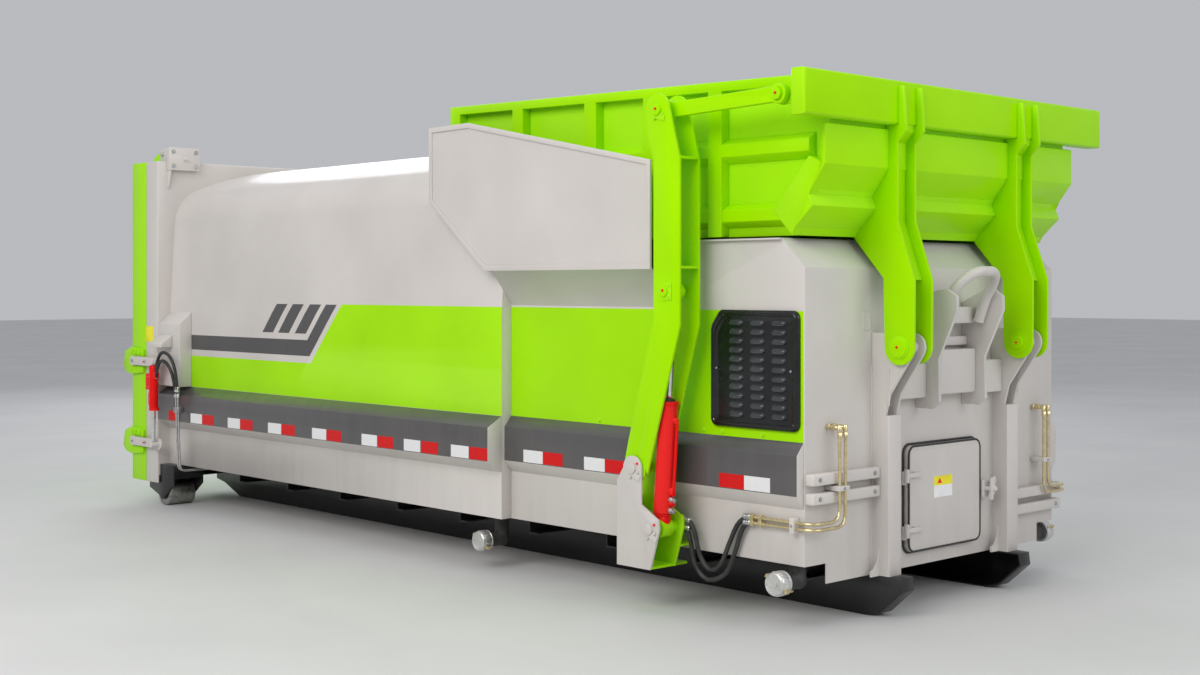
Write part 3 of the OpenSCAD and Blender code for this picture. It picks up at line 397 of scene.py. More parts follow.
def skin(name, finishes, edge=None, folds=None, fold_edges=None, choose=None, angle=35):
    """Replaces a CAD node by the same shape with rounded edges and its paint."""
    bm = cad_copy(name)
    if folds:
        round_edges(bm, folds, 3, fold_edges)
    round_edges(bm, edge or bpy.context.scene.compactor_sizes.edge)
    if choose:
        for face in bm.faces:
            face.material_index = choose(face)
    stand_in(name, bm, finishes, angle)


def skins(finishes, **edges):
    """Skins nodes that share a finish, each with its own edge radius, or None for the common one."""
    for name, edge in edges.items():
        skin(name, finishes, edge)


def cut_by(bm, point, normal, chosen):
    """Cuts the faces picked by chosen(face) along a plane, without taking anything away."""
    faces = [face for face in bm.faces if chosen(face)]
    geometry = dict.fromkeys(faces)
    for face in faces:
        geometry.update(dict.fromkeys([*face.edges, *face.verts]))
    bmesh.ops.bisect_plane(bm, geom=list(geometry), dist=1e-6, plane_co=point, plane_no=normal)


def side_face(face):
    """True for the outer side walls, not for their inner faces."""
    return face.normal.y * math.copysign(1, face.calc_center_median().y) > 0.5


def paint_patch(bm, outline, index):
    """Gives a convex patch, drawn as x and z on the side walls, its own material."""
    centre = Vector((sum(x for x, z in outline) / len(outline), 0, sum(z for x, z in outline) / len(outline)))
    planes = []
    for a, b in zip(outline, outline[1:] + outline[:1]):
        normal = Vector((b[1] - a[1], 0, a[0] - b[0])).normalized()
        point = Vector((a[0], 0, a[1]))
        if (centre - point).dot(normal) < 0:
            normal = -normal
        planes.append((point, normal))
        cut_by(bm, point, normal, side_face)
    for face in bm.faces:
        middle = face.calc_center_median()
        if side_face(face) and all((middle - point).dot(normal) > 0 for point, normal in planes):
            face.material_index = index


def around(pin, reach):
    """Picks material 1 for the faces near a pin's axis, and 0 for the rest."""
    def choose(face):
        middle = face.calc_center_median()
        return int(math.dist((middle.x, middle.z), PINS[pin]) < reach)
    return choose


# ---------------------------------------------------------------- shapes


def join(parts):
    """Joins bmeshes into a new one."""
    whole = bmesh.new()
    for part in parts:
        mesh = plain_mesh("part", part)
        whole.from_mesh(mesh)
        bpy.data.meshes.remove(mesh)
    return whole


def both_sides(make):
    """make(side) gives a bmesh for each side; both are joined."""
    return join([make(side) for side in SIDES])


def box(x, y, z, width, segments=2):
    """A box given by its spans, with its edges rounded by a width."""
    bm = bmesh.new()
    bmesh.ops.create_cube(bm, size=1)
    for vert in bm.verts:
        vert.co = Vector(sorted(span)[vert.co[i] > 0] for i, span in enumerate((x, y, z)))
    bevel(bm, list(bm.edges), width, segments)
    return bm


def side_box(side, x, y, z, width, segments=2):
    """A box on one side, its y span given as distances from the middle."""
    return box(x, (side * y[0], side * y[1]), z, width, segments)


def turned(profile, sides, centre=(0, 0, 0), direction=UP):
    """A solid of revolution from (radius, height) pairs, standing at centre along direction."""
    bm = bmesh.new()
    rings = []
    for radius, height in profile:
        angles = [2 * math.pi * i / sides for i in range(sides if radius > 1e-6 else 1)]
        rings.append([bm.verts.new((radius * math.cos(a), radius * math.sin(a), height)) for a in angles])
    for lower, upper in zip(rings, rings[1:]):
        for i in range(sides):
            j = (i + 1) % sides
            ring = [side[k % len(side)] for side, k in ((lower, i), (lower, j), (upper, j), (upper, i))]
            corners = list(dict.fromkeys(ring))
            if len(corners) > 2:
                bm.faces.new(corners)
    for ring in (rings[0][::-1], rings[-1]):
        if len(ring) > 1:
            bm.faces.new(ring)
    bmesh.ops.recalc_face_normals(bm, faces=bm.faces)
    aim = Vector(direction).to_track_quat("Z", "Y").to_matrix().to_4x4()
    bm.transform(Matrix.Translation(Vector(centre)) @ aim)
    return bm


def stub(radius, height, top_radius, top):
    """Profile of a round or six-sided part with one chamfer at its top."""
    return [(radius, 0), (radius, height), (top_radius, top), (0, top)]


def prism(outline, place):
    """A prism between two copies of a flat outline; place(point, end) gives each corner."""
    bm = bmesh.new()
    rings = [[bm.verts.new(place(point, end)) for point in outline] for end in (0, 1)]
    count = len(outline)
    for i in range(count):
        bm.faces.new((rings[0][i], rings[0][(i + 1) % count], rings[1][(i + 1) % count], rings[1][i]))
    for ring in rings:
        bm.faces.new(ring)
    bmesh.ops.recalc_face_normals(bm, faces=bm.faces)
    return bm


def plate_xz(outline, side, y0, y1):
    """A plate on one side, drawn as x and z, between two distances from the middle."""
    return prism(outline, lambda p, end: (p[0], side * (y0, y1)[end], p[1]))


def plate_yz(outline, side, x0, x1):
    """A plate on one side, drawn as distance from the middle and z, between two stations."""
    return prism(outline, lambda p, end: ((x0, x1)[end], side * p[0], p[1]))


def arc(centre, radius, start, end, step=15):
    """Points of an arc in the plane, from one whole degree to another."""
    way = 1 if end > start else -1
    return [(centre[0] + radius * math.cos(math.radians(t)), centre[1] + radius * math.sin(math.radians(t)))
            for t in range(start, end + way, way * step)]


def rounded_loop(x, half, low, high, radius, step=15):
    """Closed route at a station round a rectangle, given by the centres of its round corners."""
    corners = ((half, high, 0), (-half, high, 90), (-half, low, 180), (half, low, 270))
    loop = [(x, *point) for y, z, start in corners for point in arc((y, z), radius, start, start + 90, step)]
    return loop + loop[:1]


def rounded_path(corners, radius, steps=6):
    """A route through corners with each corner turned on a radius."""
    corners = [Vector(c) for c in corners]
    route = [corners[0]]
    for before, corner, after in zip(corners, corners[1:], corners[2:]):
        into, out = (before - corner).normalized(), (after - corner).normalized()
        half = into.angle(out) / 2
        reach = min(radius / math.tan(half), (before - corner).length * 0.49, (after - corner).length * 0.49)
        a, b = corner + into * reach, corner + out * reach
        for i in range(steps + 1):
            t = i / steps
            route.append(a.lerp(corner, t).lerp(corner.lerp(b, t), t))
    return route + [corners[-1]]


def curve_through(points, steps=8):
    """A smooth route through given points."""
    points = [Vector(p) for p in points]
    route = []
    for i in range(len(points) - 1):
        p0, p1 = points[max(i - 1, 0)], points[i]
        p2, p3 = points[i + 1], points[min(i + 2, len(points) - 1)]
        for t in (k / steps for k in range(steps)):
            route.append(0.5 * (2 * p1 + (p2 - p0) * t + (2 * p0 - 5 * p1 + 4 * p2 - p3) * t * t
                                + (3 * p1 - p0 - 3 * p2 + p3) * t * t * t))
    return route + [points[-1]]


def mirrored(paths):
    """The routes, followed by the same routes on the other side."""
    return paths + [[(p[0], -p[1], p[2]) for p in path] for path in paths]


# ---------------------------------------------------------------- geometry nodes


def open_tree(tree, **inputs):
    """Declares a tree's geometry, its named inputs as (kind, default), and its finish."""
    tree.interface.new_socket("Geometry", in_out="INPUT", socket_type="NodeSocketGeometry")
    for name, (kind, default) in {**inputs, "Finish": ("Material", None)}.items():
        socket = tree.interface.new_socket(name, in_out="INPUT", socket_type="NodeSocket" + kind)
        if default is not None:
            socket.default_value = default
    tree.interface.new_socket("Geometry", in_out="OUTPUT", socket_type="NodeSocketGeometry")
    return tree.nodes.new("NodeGroupInput").outputs


def close_tree(tree, given, geometry):
    """Ends a tree with Realize Instances and Set Material."""
    realize = node(tree, "GeometryNodeRealizeInstances", Geometry=geometry)
    finish = node(tree, "GeometryNodeSetMaterial", Geometry=realize.outputs[0], Material=given["Finish"])
    tree.links.new(finish.outputs[0], tree.nodes.new("NodeGroupOutput").inputs[0])


def scatter_tree(tree):
    """Puts one small part on every point, turned by the point's aim and sized."""
    given = open_tree(tree, Part=("Object", None), Size=("Float", 1.0), Seed=("Int", 7), Spin=("Float", 0.0))
    part = node(tree, "GeometryNodeObjectInfo", Object=given["Part"])
    aim = node(tree, "GeometryNodeInputNamedAttribute", data_type="FLOAT_VECTOR", Name="aim")
    turn = node(tree, "FunctionNodeAlignRotationToVector", axis="Z", Vector=aim.outputs["Attribute"])
    chance = node(tree, "FunctionNodeRandomValue", data_type="FLOAT", Seed=given["Seed"])
    drawn = [socket for socket in chance.outputs if socket.enabled][0]
    spin = node(tree, "ShaderNodeCombineXYZ", Z=math_node(tree, "MULTIPLY", drawn, given["Spin"], False))
    local = node(tree, "FunctionNodeEulerToRotation", Euler=spin.outputs[0])
    rotate = node(tree, "FunctionNodeRotateRotation", rotation_space="LOCAL", Rotation=turn.outputs[0])
    tree.links.new(local.outputs[0], rotate.inputs[1])
    put = node(tree, "GeometryNodeInstanceOnPoints", Points=given["Geometry"],
               Instance=part.outputs["Geometry"], Rotation=rotate.outputs[0], Scale=given["Size"])
    close_tree(tree, given, put.outputs[0])


def grid_tree(tree):
    """Repeats one small part in rows and columns in its own plane."""
    given = open_tree(tree, Part=("Object", None), Columns=("Int", 3), Rows=("Int", 11), Width=("Float", 0.2),
                      Height=("Float", 0.4))
    grid = node(tree, "GeometryNodeMeshGrid", **{
        "Size X": given["Width"], "Size Y": given["Height"], "Vertices X": given["Columns"],
        "Vertices Y": given["Rows"]})
    part = node(tree, "GeometryNodeObjectInfo", Object=given["Part"])
    put = node(tree, "GeometryNodeInstanceOnPoints", Points=grid.outputs["Mesh"],
               Instance=part.outputs["Geometry"])
    close_tree(tree, given, put.outputs[0])


def bead_tree(tree):
    """Sweeps a round section along every path, with ripples and closed ends."""
    given = open_tree(tree, Radius=("Float", 0.004), Step=("Float", 0.01), Ripple=("Float", 0.0),
                      Sides=("Int", 8), Seed=("Float", 3.0))
    curve = node(tree, "GeometryNodeMeshToCurve", Mesh=given["Geometry"])
    even = node(tree, "GeometryNodeResampleCurve", mode="LENGTH", Curve=curve.outputs[0],
                Length=given["Step"])
    place = node(tree, "GeometryNodeInputPosition")
    wobble = node(tree, "ShaderNodeTexNoise", noise_dimensions="4D", Scale=120, Vector=place.outputs[0],
                  W=given["Seed"])
    off = math_node(tree, "SUBTRACT", wobble.outputs["Fac"], 0.5, False)
    grow = math_node(tree, "ADD", math_node(tree, "MULTIPLY", off, given["Ripple"], False), 1.0, False)
    ring = node(tree, "GeometryNodeCurvePrimitiveCircle", Resolution=given["Sides"], Radius=given["Radius"])
    swept = node(tree, "GeometryNodeCurveToMesh", Curve=even.outputs[0], Scale=grow)
    swept.inputs["Fill Caps"].default_value = True
    tree.links.new(ring.outputs[0], swept.inputs["Profile Curve"])
    close_tree(tree, given, swept.outputs[0])


def run_tree(name, mesh, make, body, slot, replaces=(), angle=40, **values):
    """Runs the tree that make(tree) builds on a mesh, and keeps the result as a plain mesh piece."""
    tree = bpy.data.node_groups.get("compactor_" + make.__name__)
    if not tree:
        tree = bpy.data.node_groups.new("compactor_" + make.__name__, "GeometryNodeTree")
        make(tree)
    host = bpy.data.objects.new(name, mesh)
    bpy.context.scene.collection.objects.link(host)
    modifier = host.modifiers.new("shape", "NODES")
    modifier.node_group = tree
    for socket in tree.interface.items_tree:
        if socket.item_type == "SOCKET" and socket.in_out == "INPUT" and socket.name in values:
            modifier[socket.identifier] = values[socket.name]
    bpy.context.view_layer.update()
    made = bpy.data.meshes.new_from_object(host.evaluated_get(bpy.context.evaluated_depsgraph_get()))
    bpy.data.objects.remove(host)
    if not made.polygons:
        raise RuntimeError(f"{name}: the tree made nothing")
    made.name = name
    smooth(made, angle)
    return link_piece(name, made, body, slot, replaces)


def template(name, bm):
    """A part for a tree to repeat; it isn't shown itself."""
    return bpy.data.objects.new(name, plain_mesh(name, bm))


def scatter(name, part, places, finish, body="root", slot=None, size=1.0, spin=0.0):
    """Puts a template at every (place, aim)."""
    mesh = bpy.data.meshes.new(name)
    mesh.from_pydata([place for place, _ in places], [], [])
    aim = mesh.attributes.new("aim", "FLOAT_VECTOR", "POINT")
    for index, (_, direction) in enumerate(places):
        aim.data[index].vector = direction
    run_tree(name, mesh, scatter_tree, body, slot or SLOTS[finish], Part=part, Size=size, Spin=spin,
             Finish=MATERIALS[finish])


def bolts(name, radius, places, finish="steel", body="root", slot=None, size=1.0):
    """Hexagon bolts with washers, each turned a little its own way."""
    seat, top = radius * 0.2, radius * 0.92
    washer = [(radius * 1.45, 0), (radius * 1.45, seat), (0, seat)]
    hexagon = [(radius, seat), (radius, radius * 0.75), (radius * 0.82, top), (0, top)]
    head = join([turned(washer, 20), turned(hexagon, 6)])
    scatter(name, template(name + "_part", head), places, finish, body, slot, size, 1.0)


def nipples(name, places, body="root"):
    """Grease nipples."""
    profile = [(0.006, 0), (0.006, 0.003), (0.0032, 0.0035), (0.0032, 0.006), (0.0042, 0.0072),
               (0.0034, 0.009), (0, 0.0092)]
    scatter(name, template(name + "_part", turned(profile, 12)), places, "red", body)


def side_spot(side, x, y, z):
    """Place and aim of a small part that stands out from one side."""
    return Vector((x, side * y, z)), outward(side)


def front_spot(x, y, z):
    """Place and aim of a small part that faces forward."""
    return Vector((x, y, z)), FORWARD


def sweep(name, paths, finish, radius, step, ripple=0.0, sides=12, body="root", slot=None, replaces=()):
    """Sweeps a round section along routes."""
    verts, edges = [], []
    for path in paths:
        edges += [(len(verts) + i, len(verts) + i + 1) for i in range(len(path) - 1)]
        verts += [tuple(p) for p in path]
    mesh = bpy.data.meshes.new(name)
    mesh.from_pydata(verts, edges, [])
    run_tree(name, mesh, bead_tree, body, slot or SLOTS[finish], replaces, 50, Radius=radius, Step=step,
             Ripple=ripple, Sides=sides, Finish=MATERIALS[finish])


# ---------------------------------------------------------------- operators


class Undoable:
    bl_options = {"REGISTER", "UNDO"}


class COMPACTOR_OT_finishes(Undoable, bpy.types.Operator):
    """Makes every paint and metal finish"""

    bl_idname = "compactor.finishes"
    bl_label = "Finishes"

    def execute(self, context):
        colour = context.scene.compactor_paint
        dust = colour.dust
        MATERIALS.update({
            "lime": paint("lime_enamel", colour.lime, 0.36, 0.05, dust * 0.4, 0.25, scaled(colour.lime, 1.2)),
            "grey": paint("warm_grey_enamel", colour.grey, 0.42, 0.20, dust, 0.28),
            "band": paint("dark_band_enamel", colour.band, 0.32, 0.35, dust),
            "red": paint("red_enamel", colour.red, 0.30, 0.10, 0.05, 0.25, (1.0, 0.25, 0.2)),
            "black": paint("black_chassis_enamel", (0.008, 0.008, 0.009), 0.34, 0.15, dust * 0.4,
                           dirt=(0.10, 0.09, 0.08)),
            "chrome": metal("hard_chrome", (0.80, 0.81, 0.83), 0.14, (1, 1, 12)),
            "steel": metal("zinc_plated_steel", (0.56, 0.56, 0.55), 0.34),
            "brass": metal("yellow_zinc", (0.78, 0.66, 0.38), 0.30, stain=(0.62, 0.58, 0.48)),
            "alloy": metal("cast_alloy", (0.80, 0.80, 0.78), 0.36, stain=(0.5, 0.5, 0.48)),
            "worn": metal("worn_roller_steel", (0.42, 0.42, 0.40), 0.4, stain=(0.10, 0.13, 0.07),
                          stain_amount=0.7),
            "rubber": rubber("hose_rubber"),
            "gasket": rubber("gasket_rubber", (0.02, 0.02, 0.022), 0.5, 300),
            "plastic": plastic("vent_plastic", (0.006, 0.006, 0.007), 0.22),
            # The louvres are the vent's black plastic; this lighter, glossier copy is a painted highlight
            # that stands in for the glints on their lips.
            "louvre": plastic("louvre_plastic_painted_glint", (0.035, 0.037, 0.042), 0.14),
            "white_tape": reflector("white_reflector", (0.86, 0.86, 0.87)),
            "red_tape": reflector("red_reflector", (0.72, 0.0, 0.0)),
            "yellow": plastic("yellow_label", (0.95, 0.72, 0.01), 0.35),
            "white": plastic("white_label", (0.86, 0.86, 0.86), 0.35),
        })
        return {"FINISHED"}


class COMPACTOR_OT_container(Undoable, bpy.types.Operator):
    """Container shell with its painted bands, floor, bulkhead and rear frame"""

    bl_idname = "compactor.container"
    bl_label = "Container"

    def execute(self, context):
        bm = cad_copy("container_shell")
        rear, front = LATCH_COVER_FRONT, BODY_FRONT + 0.01
        low, step, top = 0.82, 1.03, 1.39
        slope, green = 0.92, back(3.553)

        def slant(z):
            """Station of the lime field's slanted rear edge at a level."""
            return green - slope * (top - z)

        paint_patch(bm, [(slant(low), low), (front, low), (front, top), (green, top)], 1)
        paint_patch(bm, [(rear, low), (slant(low) + 0.002, low), (slant(step), step), (rear, step)], 1)
        band_low, band_top, bar_low, bar_top = 1.072, 1.17, 1.208, 1.388
        turn = back(3.897)
        paint_patch(bm, [(rear, band_low), (turn, band_low), (back(3.806), band_top), (rear, band_top)], 2)
        paint_patch(bm, [(turn, band_low), (back(3.606), bar_top), (back(3.722), bar_top),
                         (back(3.923), band_top), (back(4.0135), band_low)], 2)
        lean, wide = slope * (bar_top - bar_low), 0.124
        for x in (back(4.273), back(4.088), turn):
            paint_patch(bm, [(x, bar_top), (x + wide, bar_top), (x + wide - lean, bar_low),
                             (x - lean, bar_low)], 2)
        stand_in("container_shell", bm, "grey lime band", 30)
        skins("grey", container_floor=None, container_bulkhead=None)
        skin("rear_frame", "grey", folds=0.006)
        return {"FINISHED"}


class COMPACTOR_OT_head(Undoable, bpy.types.Operator):
    """Compactor head with its lime side band, decks, guards and what is inside"""

    bl_idname = "compactor.head"
    bl_label = "Compactor head"

    def execute(self, context):
        def front_corner(edge):
            """True for the long upright corners at the front."""
            a, b = (vert.co for vert in edge.verts)
            return edge.calc_length() > 0.5 and abs((a - b).normalized().z) > 0.9 and a.x > HEAD_FRONT - 0.001

        bm = cad_copy("head_shell")
        round_edges(bm, 0.005, 3, front_corner)
        round_edges(bm, 0.001)
        rear, front = BODY_FRONT - 0.01, HEAD_FRONT - 0.006
        paint_patch(bm, [(rear, 0.80), (front, 0.80), (front, 1.39), (rear, 1.39)], 1)
        stand_in("head_shell", bm, "grey lime")
        skins("grey", chute_guards=None, head_decks=None, head_floor=None)
        skins("band", packer_ram=0.012, power_pack=0.012)
        return {"FINISHED"}


class COMPACTOR_OT_rails(Undoable, bpy.types.Operator):
    """Rub rails with dark faces and light lower folds"""

    bl_idname = "compactor.rails"
    bl_label = "Rub rails"

    def execute(self, context):
        fold = 0.589
        skin("rub_rails", "band grey", 0.003,
             choose=lambda face: int(face.calc_center_median().z < fold or abs(face.normal.x) > 0.6))
        return {"FINISHED"}


class COMPACTOR_OT_tapes(Undoable, bpy.types.Operator):
    """Red and white reflective tape along the rails"""

    bl_idname = "compactor.tapes"
    bl_label = "Reflective tape"

    def execute(self, context):
        middle, rear_face, front_face = 0.624, 1.1702, 1.0572
        # Each row: the face it lies on, its first colour, and each pair's front edge, joint and rear edge
        rows = (
            (rear_face, "white", ((5.188, 5.028, 4.885), (4.707, 4.546, 4.401), (4.217, 4.062, 3.910),
                                  (3.722, 3.568, 3.412), (3.210, 3.052, 2.899), (2.805, 2.644, 2.488),
                                  (2.383, 2.221, 2.072))),
            (front_face, "white", ((1.914, 1.765, 1.612), (1.457, 1.299, 1.159))),
            (front_face, "red", ((0.549, 0.405, 0.247),)),
        )
        for key in ("white", "red"):
            spots = []
            for face_y, first, pairs in rows:
                for rear, joint, front in pairs:
                    station = back((rear + joint) / 2 if key == first else (joint + front) / 2)
                    spots += [side_spot(side, station, face_y, middle) for side in SIDES]
            if key == "red":
                spots += [side_spot(side, back(5.41), rear_face, middle) for side in SIDES]
            tape = box((-0.0755, 0.0755), (-0.032, 0.032), (-0.0004, 0.0006), 0.0002, 1)
            scatter("reflective_tape_" + key, template("tape_" + key, tape), spots, key + "_tape")
        return {"FINISHED"}


class COMPACTOR_OT_vents(Undoable, bpy.types.Operator):
    """Vent panels with rims, louvres and corner screws"""

    bl_idname = "compactor.vents"
    bl_label = "Vents"

    def execute(self, context):
        sizes = context.scene.compactor_sizes
        (x0, _, z0), (x1, _, z1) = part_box("vent_panels")
        slot = slot_of("vent_panels")

        def outline(inset):
            """Rounded outline of the panel with its cut upper rear corner."""
            r, corner = max(0.036 - inset, 0.006), 0.055
            a, b, c, d = x0 + inset, x1 - inset, z0 + inset, z1 - inset
            cut_x, cut_z = a + corner - inset * 0.3, d - corner * 1.4 + inset * 0.3
            points = arc((b - r, c + r), r, -90, 0) + arc((b - r, d - r), r, 0, 90)
            points += [(cut_x + 0.012, d), (cut_x - 0.006, d - 0.010), (a + 0.006, cut_z + 0.010),
                       (a, cut_z - 0.012)]
            return points + arc((a + r, c + r), r, 180, 270)

        def panel(side):
            """The frame's raised rim, stepping down to its flat middle."""
            bm = bmesh.new()
            layers = ((0, 0), (0, 0.012), (0.006, 0.018), (0.030, 0.018), (0.038, 0.012), (0.052, 0.011))
            rings = [[bm.verts.new((x, side * (HEAD_SIDE + depth), z)) for x, z in outline(inset)]
                     for inset, depth in layers]
            count = len(rings[0])
            for lower, upper in zip(rings, rings[1:]):
                for i in range(count):
                    bm.faces.new((lower[i], lower[(i + 1) % count], upper[(i + 1) % count], upper[i]))
            bm.faces.new(rings[-1])
            bm.faces.new(rings[0][::-1])
            bmesh.ops.recalc_face_normals(bm, faces=bm.faces)
            return bm

        def louvre():
            """A pressed hood, open below, standing out of the sheet along +Z."""
            bm = bmesh.new()
            length, tall, rise, steps = 0.084, 0.027, 0.0145, 12
            rows = []
            for level, lift in ((0.0, 0.0), (0.35, 0.75), (0.7, 1.0), (1.0, 0.82)):
                row = []
                for i in range(steps + 1):
                    u = -1 + 2 * i / steps
                    bulge = math.sqrt(max(0.0, 1 - u ** 4))
                    row.append(bm.verts.new((u * length / 2, tall * (0.5 - level) * (0.25 + 0.75 * bulge),
                                             rise * lift * bulge)))
                rows.append(row)
            rows.append([bm.verts.new((v.co.x, v.co.y + 0.002, max(v.co.z - 0.0035, 0))) for v in rows[-1]])
            for upper, lower in zip(rows, rows[1:]):
                for i in range(steps):
                    bm.faces.new((upper[i], lower[i], lower[i + 1], upper[i + 1]))
            return bm

        line = outline(0.017)
        rims = [[(x, side * (HEAD_SIDE + 0.012), z) for x, z in line + line[:1]] for side in SIDES]
        sweep("vent_rims", rims, "plastic", 0.0115, 0.008, sides=14, slot=slot)
        piece("vent_frames", both_sides(panel), "plastic", slot=slot, angle=45, replaces=("vent_panels",))
        part = template("louvre", louvre())
        first, middle, last = back(0.4825), back(0.355), back(0.233)
        middle_z = (1.338 + 0.925) / 2
        for side, word in HANDS:
            # The louvres take the lighter louvre plastic, a painted highlight for their glints.
            made = run_tree("vent_louvres_" + word, bpy.data.meshes.new("grid"), grid_tree, "root", slot,
                            Part=part, Columns=3, Rows=sizes.louvre_rows, Width=last - first,
                            Height=sizes.louvre_pitch * (sizes.louvre_rows - 1), Finish=MATERIALS["louvre"])
            upright = Matrix.Rotation(math.radians(90), 4, "X")
            facing = Matrix.Rotation(math.pi if side > 0 else 0, 4, "Z")
            place = Matrix.Translation((middle, side * (HEAD_SIDE + 0.011), middle_z))
            made.data.transform(place @ facing @ upright)
        screw = [(0.0065, 0.0), (0.0065, 0.002), (0.005, 0.0042), (0.002, 0.005), (0.0, 0.005)]
        places = ((x0 + 0.085, z1 - 0.02), (x1 - 0.022, z1 - 0.025), (x0 + 0.022, z0 + 0.03),
                  (x1 - 0.022, z0 + 0.03), (x0 + 0.040, (z0 + z1) / 2), (x1 - 0.040, (z0 + z1) / 2))
        spots = [side_spot(side, x, HEAD_SIDE + 0.0175, z) for side in SIDES for x, z in places]
        scatter("vent_screws", template("vent_screw", turned(screw, 14)), spots, "steel", slot=slot)
        return {"FINISHED"}


class COMPACTOR_OT_hopper(Undoable, bpy.types.Operator):
    """Hopper shell, ribs, beam and hanging arms"""

    bl_idname = "compactor.hopper"
    bl_label = "Hopper"

    def execute(self, context):
        skins("lime", hopper_shell=None, hopper_ribs=0.003)
        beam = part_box("hopper_beam")[1]

        def outer_fold(edge):
            """True for the beam's folds at its front and ends."""
            return edge.calc_length() > 0.1 and all(
                vert.co.x > beam.x - 0.002 or abs(vert.co.y) > beam.y - 0.002 for vert in edge.verts)

        skin("hopper_beam", "lime", folds=0.014, fold_edges=outer_fold)
        pin_x, pin_z = PINS["hopper_pivot"]
        front = [(3.060, 2.392), (3.072, 2.193), (3.024, 2.141), (3.024, 1.793), (3.115, 1.526),
                 (3.113, pin_z)]
        rear = [(2.955, pin_z), (2.948, 1.535), (2.784, 1.718), (2.792, 1.722), (2.8095, 1.756),
                (2.909, 1.848), (2.887, 1.900), (2.899, 1.920), (2.978, 2.026), (2.978, 2.200),
                (2.960, 2.205), (2.960, 2.220), (3.030, 2.220), (3.030, 2.392)]
        outline = front + arc((pin_x, pin_z), 0.079, -15, -165) + rear
        cover = [(x - 0.050, z) for x, z in front[:5]] + [(x - 0.060, z) for x, z in reversed(front[:5])]
        inner, outer, sheet = 0.4115, 0.5445, 0.014

        def arms(side):
            ring = [(0.055, 0), (0.055, 0.004), (0.033, 0.005), (0.033, 0.012), (0.029, 0.015), (0, 0.015)]
            return join([
                plate_xz(outline, side, inner, inner + sheet),
                plate_xz(outline, side, outer, outer + sheet),
                plate_xz(cover, side, inner + sheet, outer),
                turned(ring, 40, (pin_x, side * inner, pin_z), outward(-side)),
            ])

        bm = both_sides(arms)
        round_edges(bm, 0.0016)
        stand_in("hopper_arms", bm, "lime")
        return {"FINISHED"}


class COMPACTOR_OT_lift(Undoable, bpy.types.Operator):
    """Lift arms, tie links, cylinders and their brackets"""

    bl_idname = "compactor.lift"
    bl_label = "Lift"

    def execute(self, context):
        outer_face = 1.2485
        skin("lift_brackets", "grey lime", 0.0016,
             choose=lambda face: int(abs(face.calc_center_median().y) <= outer_face))
        for _, word in HANDS:
            skin("lift_arm_" + word, "lime", 0.0016)
            skin("tie_link_" + word, "lime", 0.004)
            skin("lift_barrel_" + word, "red lime", 0.002, choose=around("barrel_foot", 0.0475))
            skin("lift_rod_" + word, "chrome lime", 0.002, choose=around("rod_eye", 0.047))
        return {"FINISHED"}


class COMPACTOR_OT_front(Undoable, bpy.types.Operator):
    """Hook columns, plates, bar, steps and service door"""

    bl_idname = "compactor.front"
    bl_label = "Hook end"

    def execute(self, context):
        skin("hook_columns", "grey", 0.002, folds=0.008, fold_edges=lambda edge: edge.calc_length() > 0.5)
        skins("grey", hook_plates=0.003)
        half = [(2.980, -0.1525, 1.330), (3.021, -0.1525, 1.440), (3.064, -0.140, 1.503),
                (3.101, -0.104, 1.547), (3.120, -0.052, 1.566)]
        arch = curve_through(half + [(3.122, 0.0, 1.567)] + [(x, -y, z) for x, y, z in reversed(half)])
        sweep("hook_bar_skin", [arch], "grey", 0.025, 0.012, sides=28, slot=slot_of("hook_bar"),
              replaces=("hook_bar",))
        skins("grey", hook_crossbeams=0.006, step_bars=0.006, service_door=0.004, service_latch=0.002)
        return {"FINISHED"}


class COMPACTOR_OT_rear(Undoable, bpy.types.Operator):
    """Tailgate with its ears, hinges and latches"""

    bl_idname = "compactor.rear"
    bl_label = "Tailgate"

    def execute(self, context):
        skins("lime", rear_door=0.005, rear_door_ears=0.0025)
        skins("grey", door_hinge_brackets=0.0025, latch_levers=0.002)
        barrel_end = 0.6597
        skin("latch_cylinders", "red chrome", 0.002,
             choose=lambda face: int(face.calc_center_median().z <= barrel_end))
        return {"FINISHED"}


class COMPACTOR_OT_underframe(Undoable, bpy.types.Operator):
    """Skids, cross members, rollers and drains"""

    bl_idname = "compactor.underframe"
    bl_label = "Underframe"

    def execute(self, context):
        skins("black", skid_rails=0.004, crossmembers=0.002, roller_brackets=0.002)
        skins("worn", rear_roller_left=0.004, rear_roller_right=0.004)
        cap_back = 1.0395
        skin("drain_fittings", "alloy rubber", 0.002,
             choose=lambda face: int(abs(face.calc_center_median().y) <= cap_back))
        return {"FINISHED"}


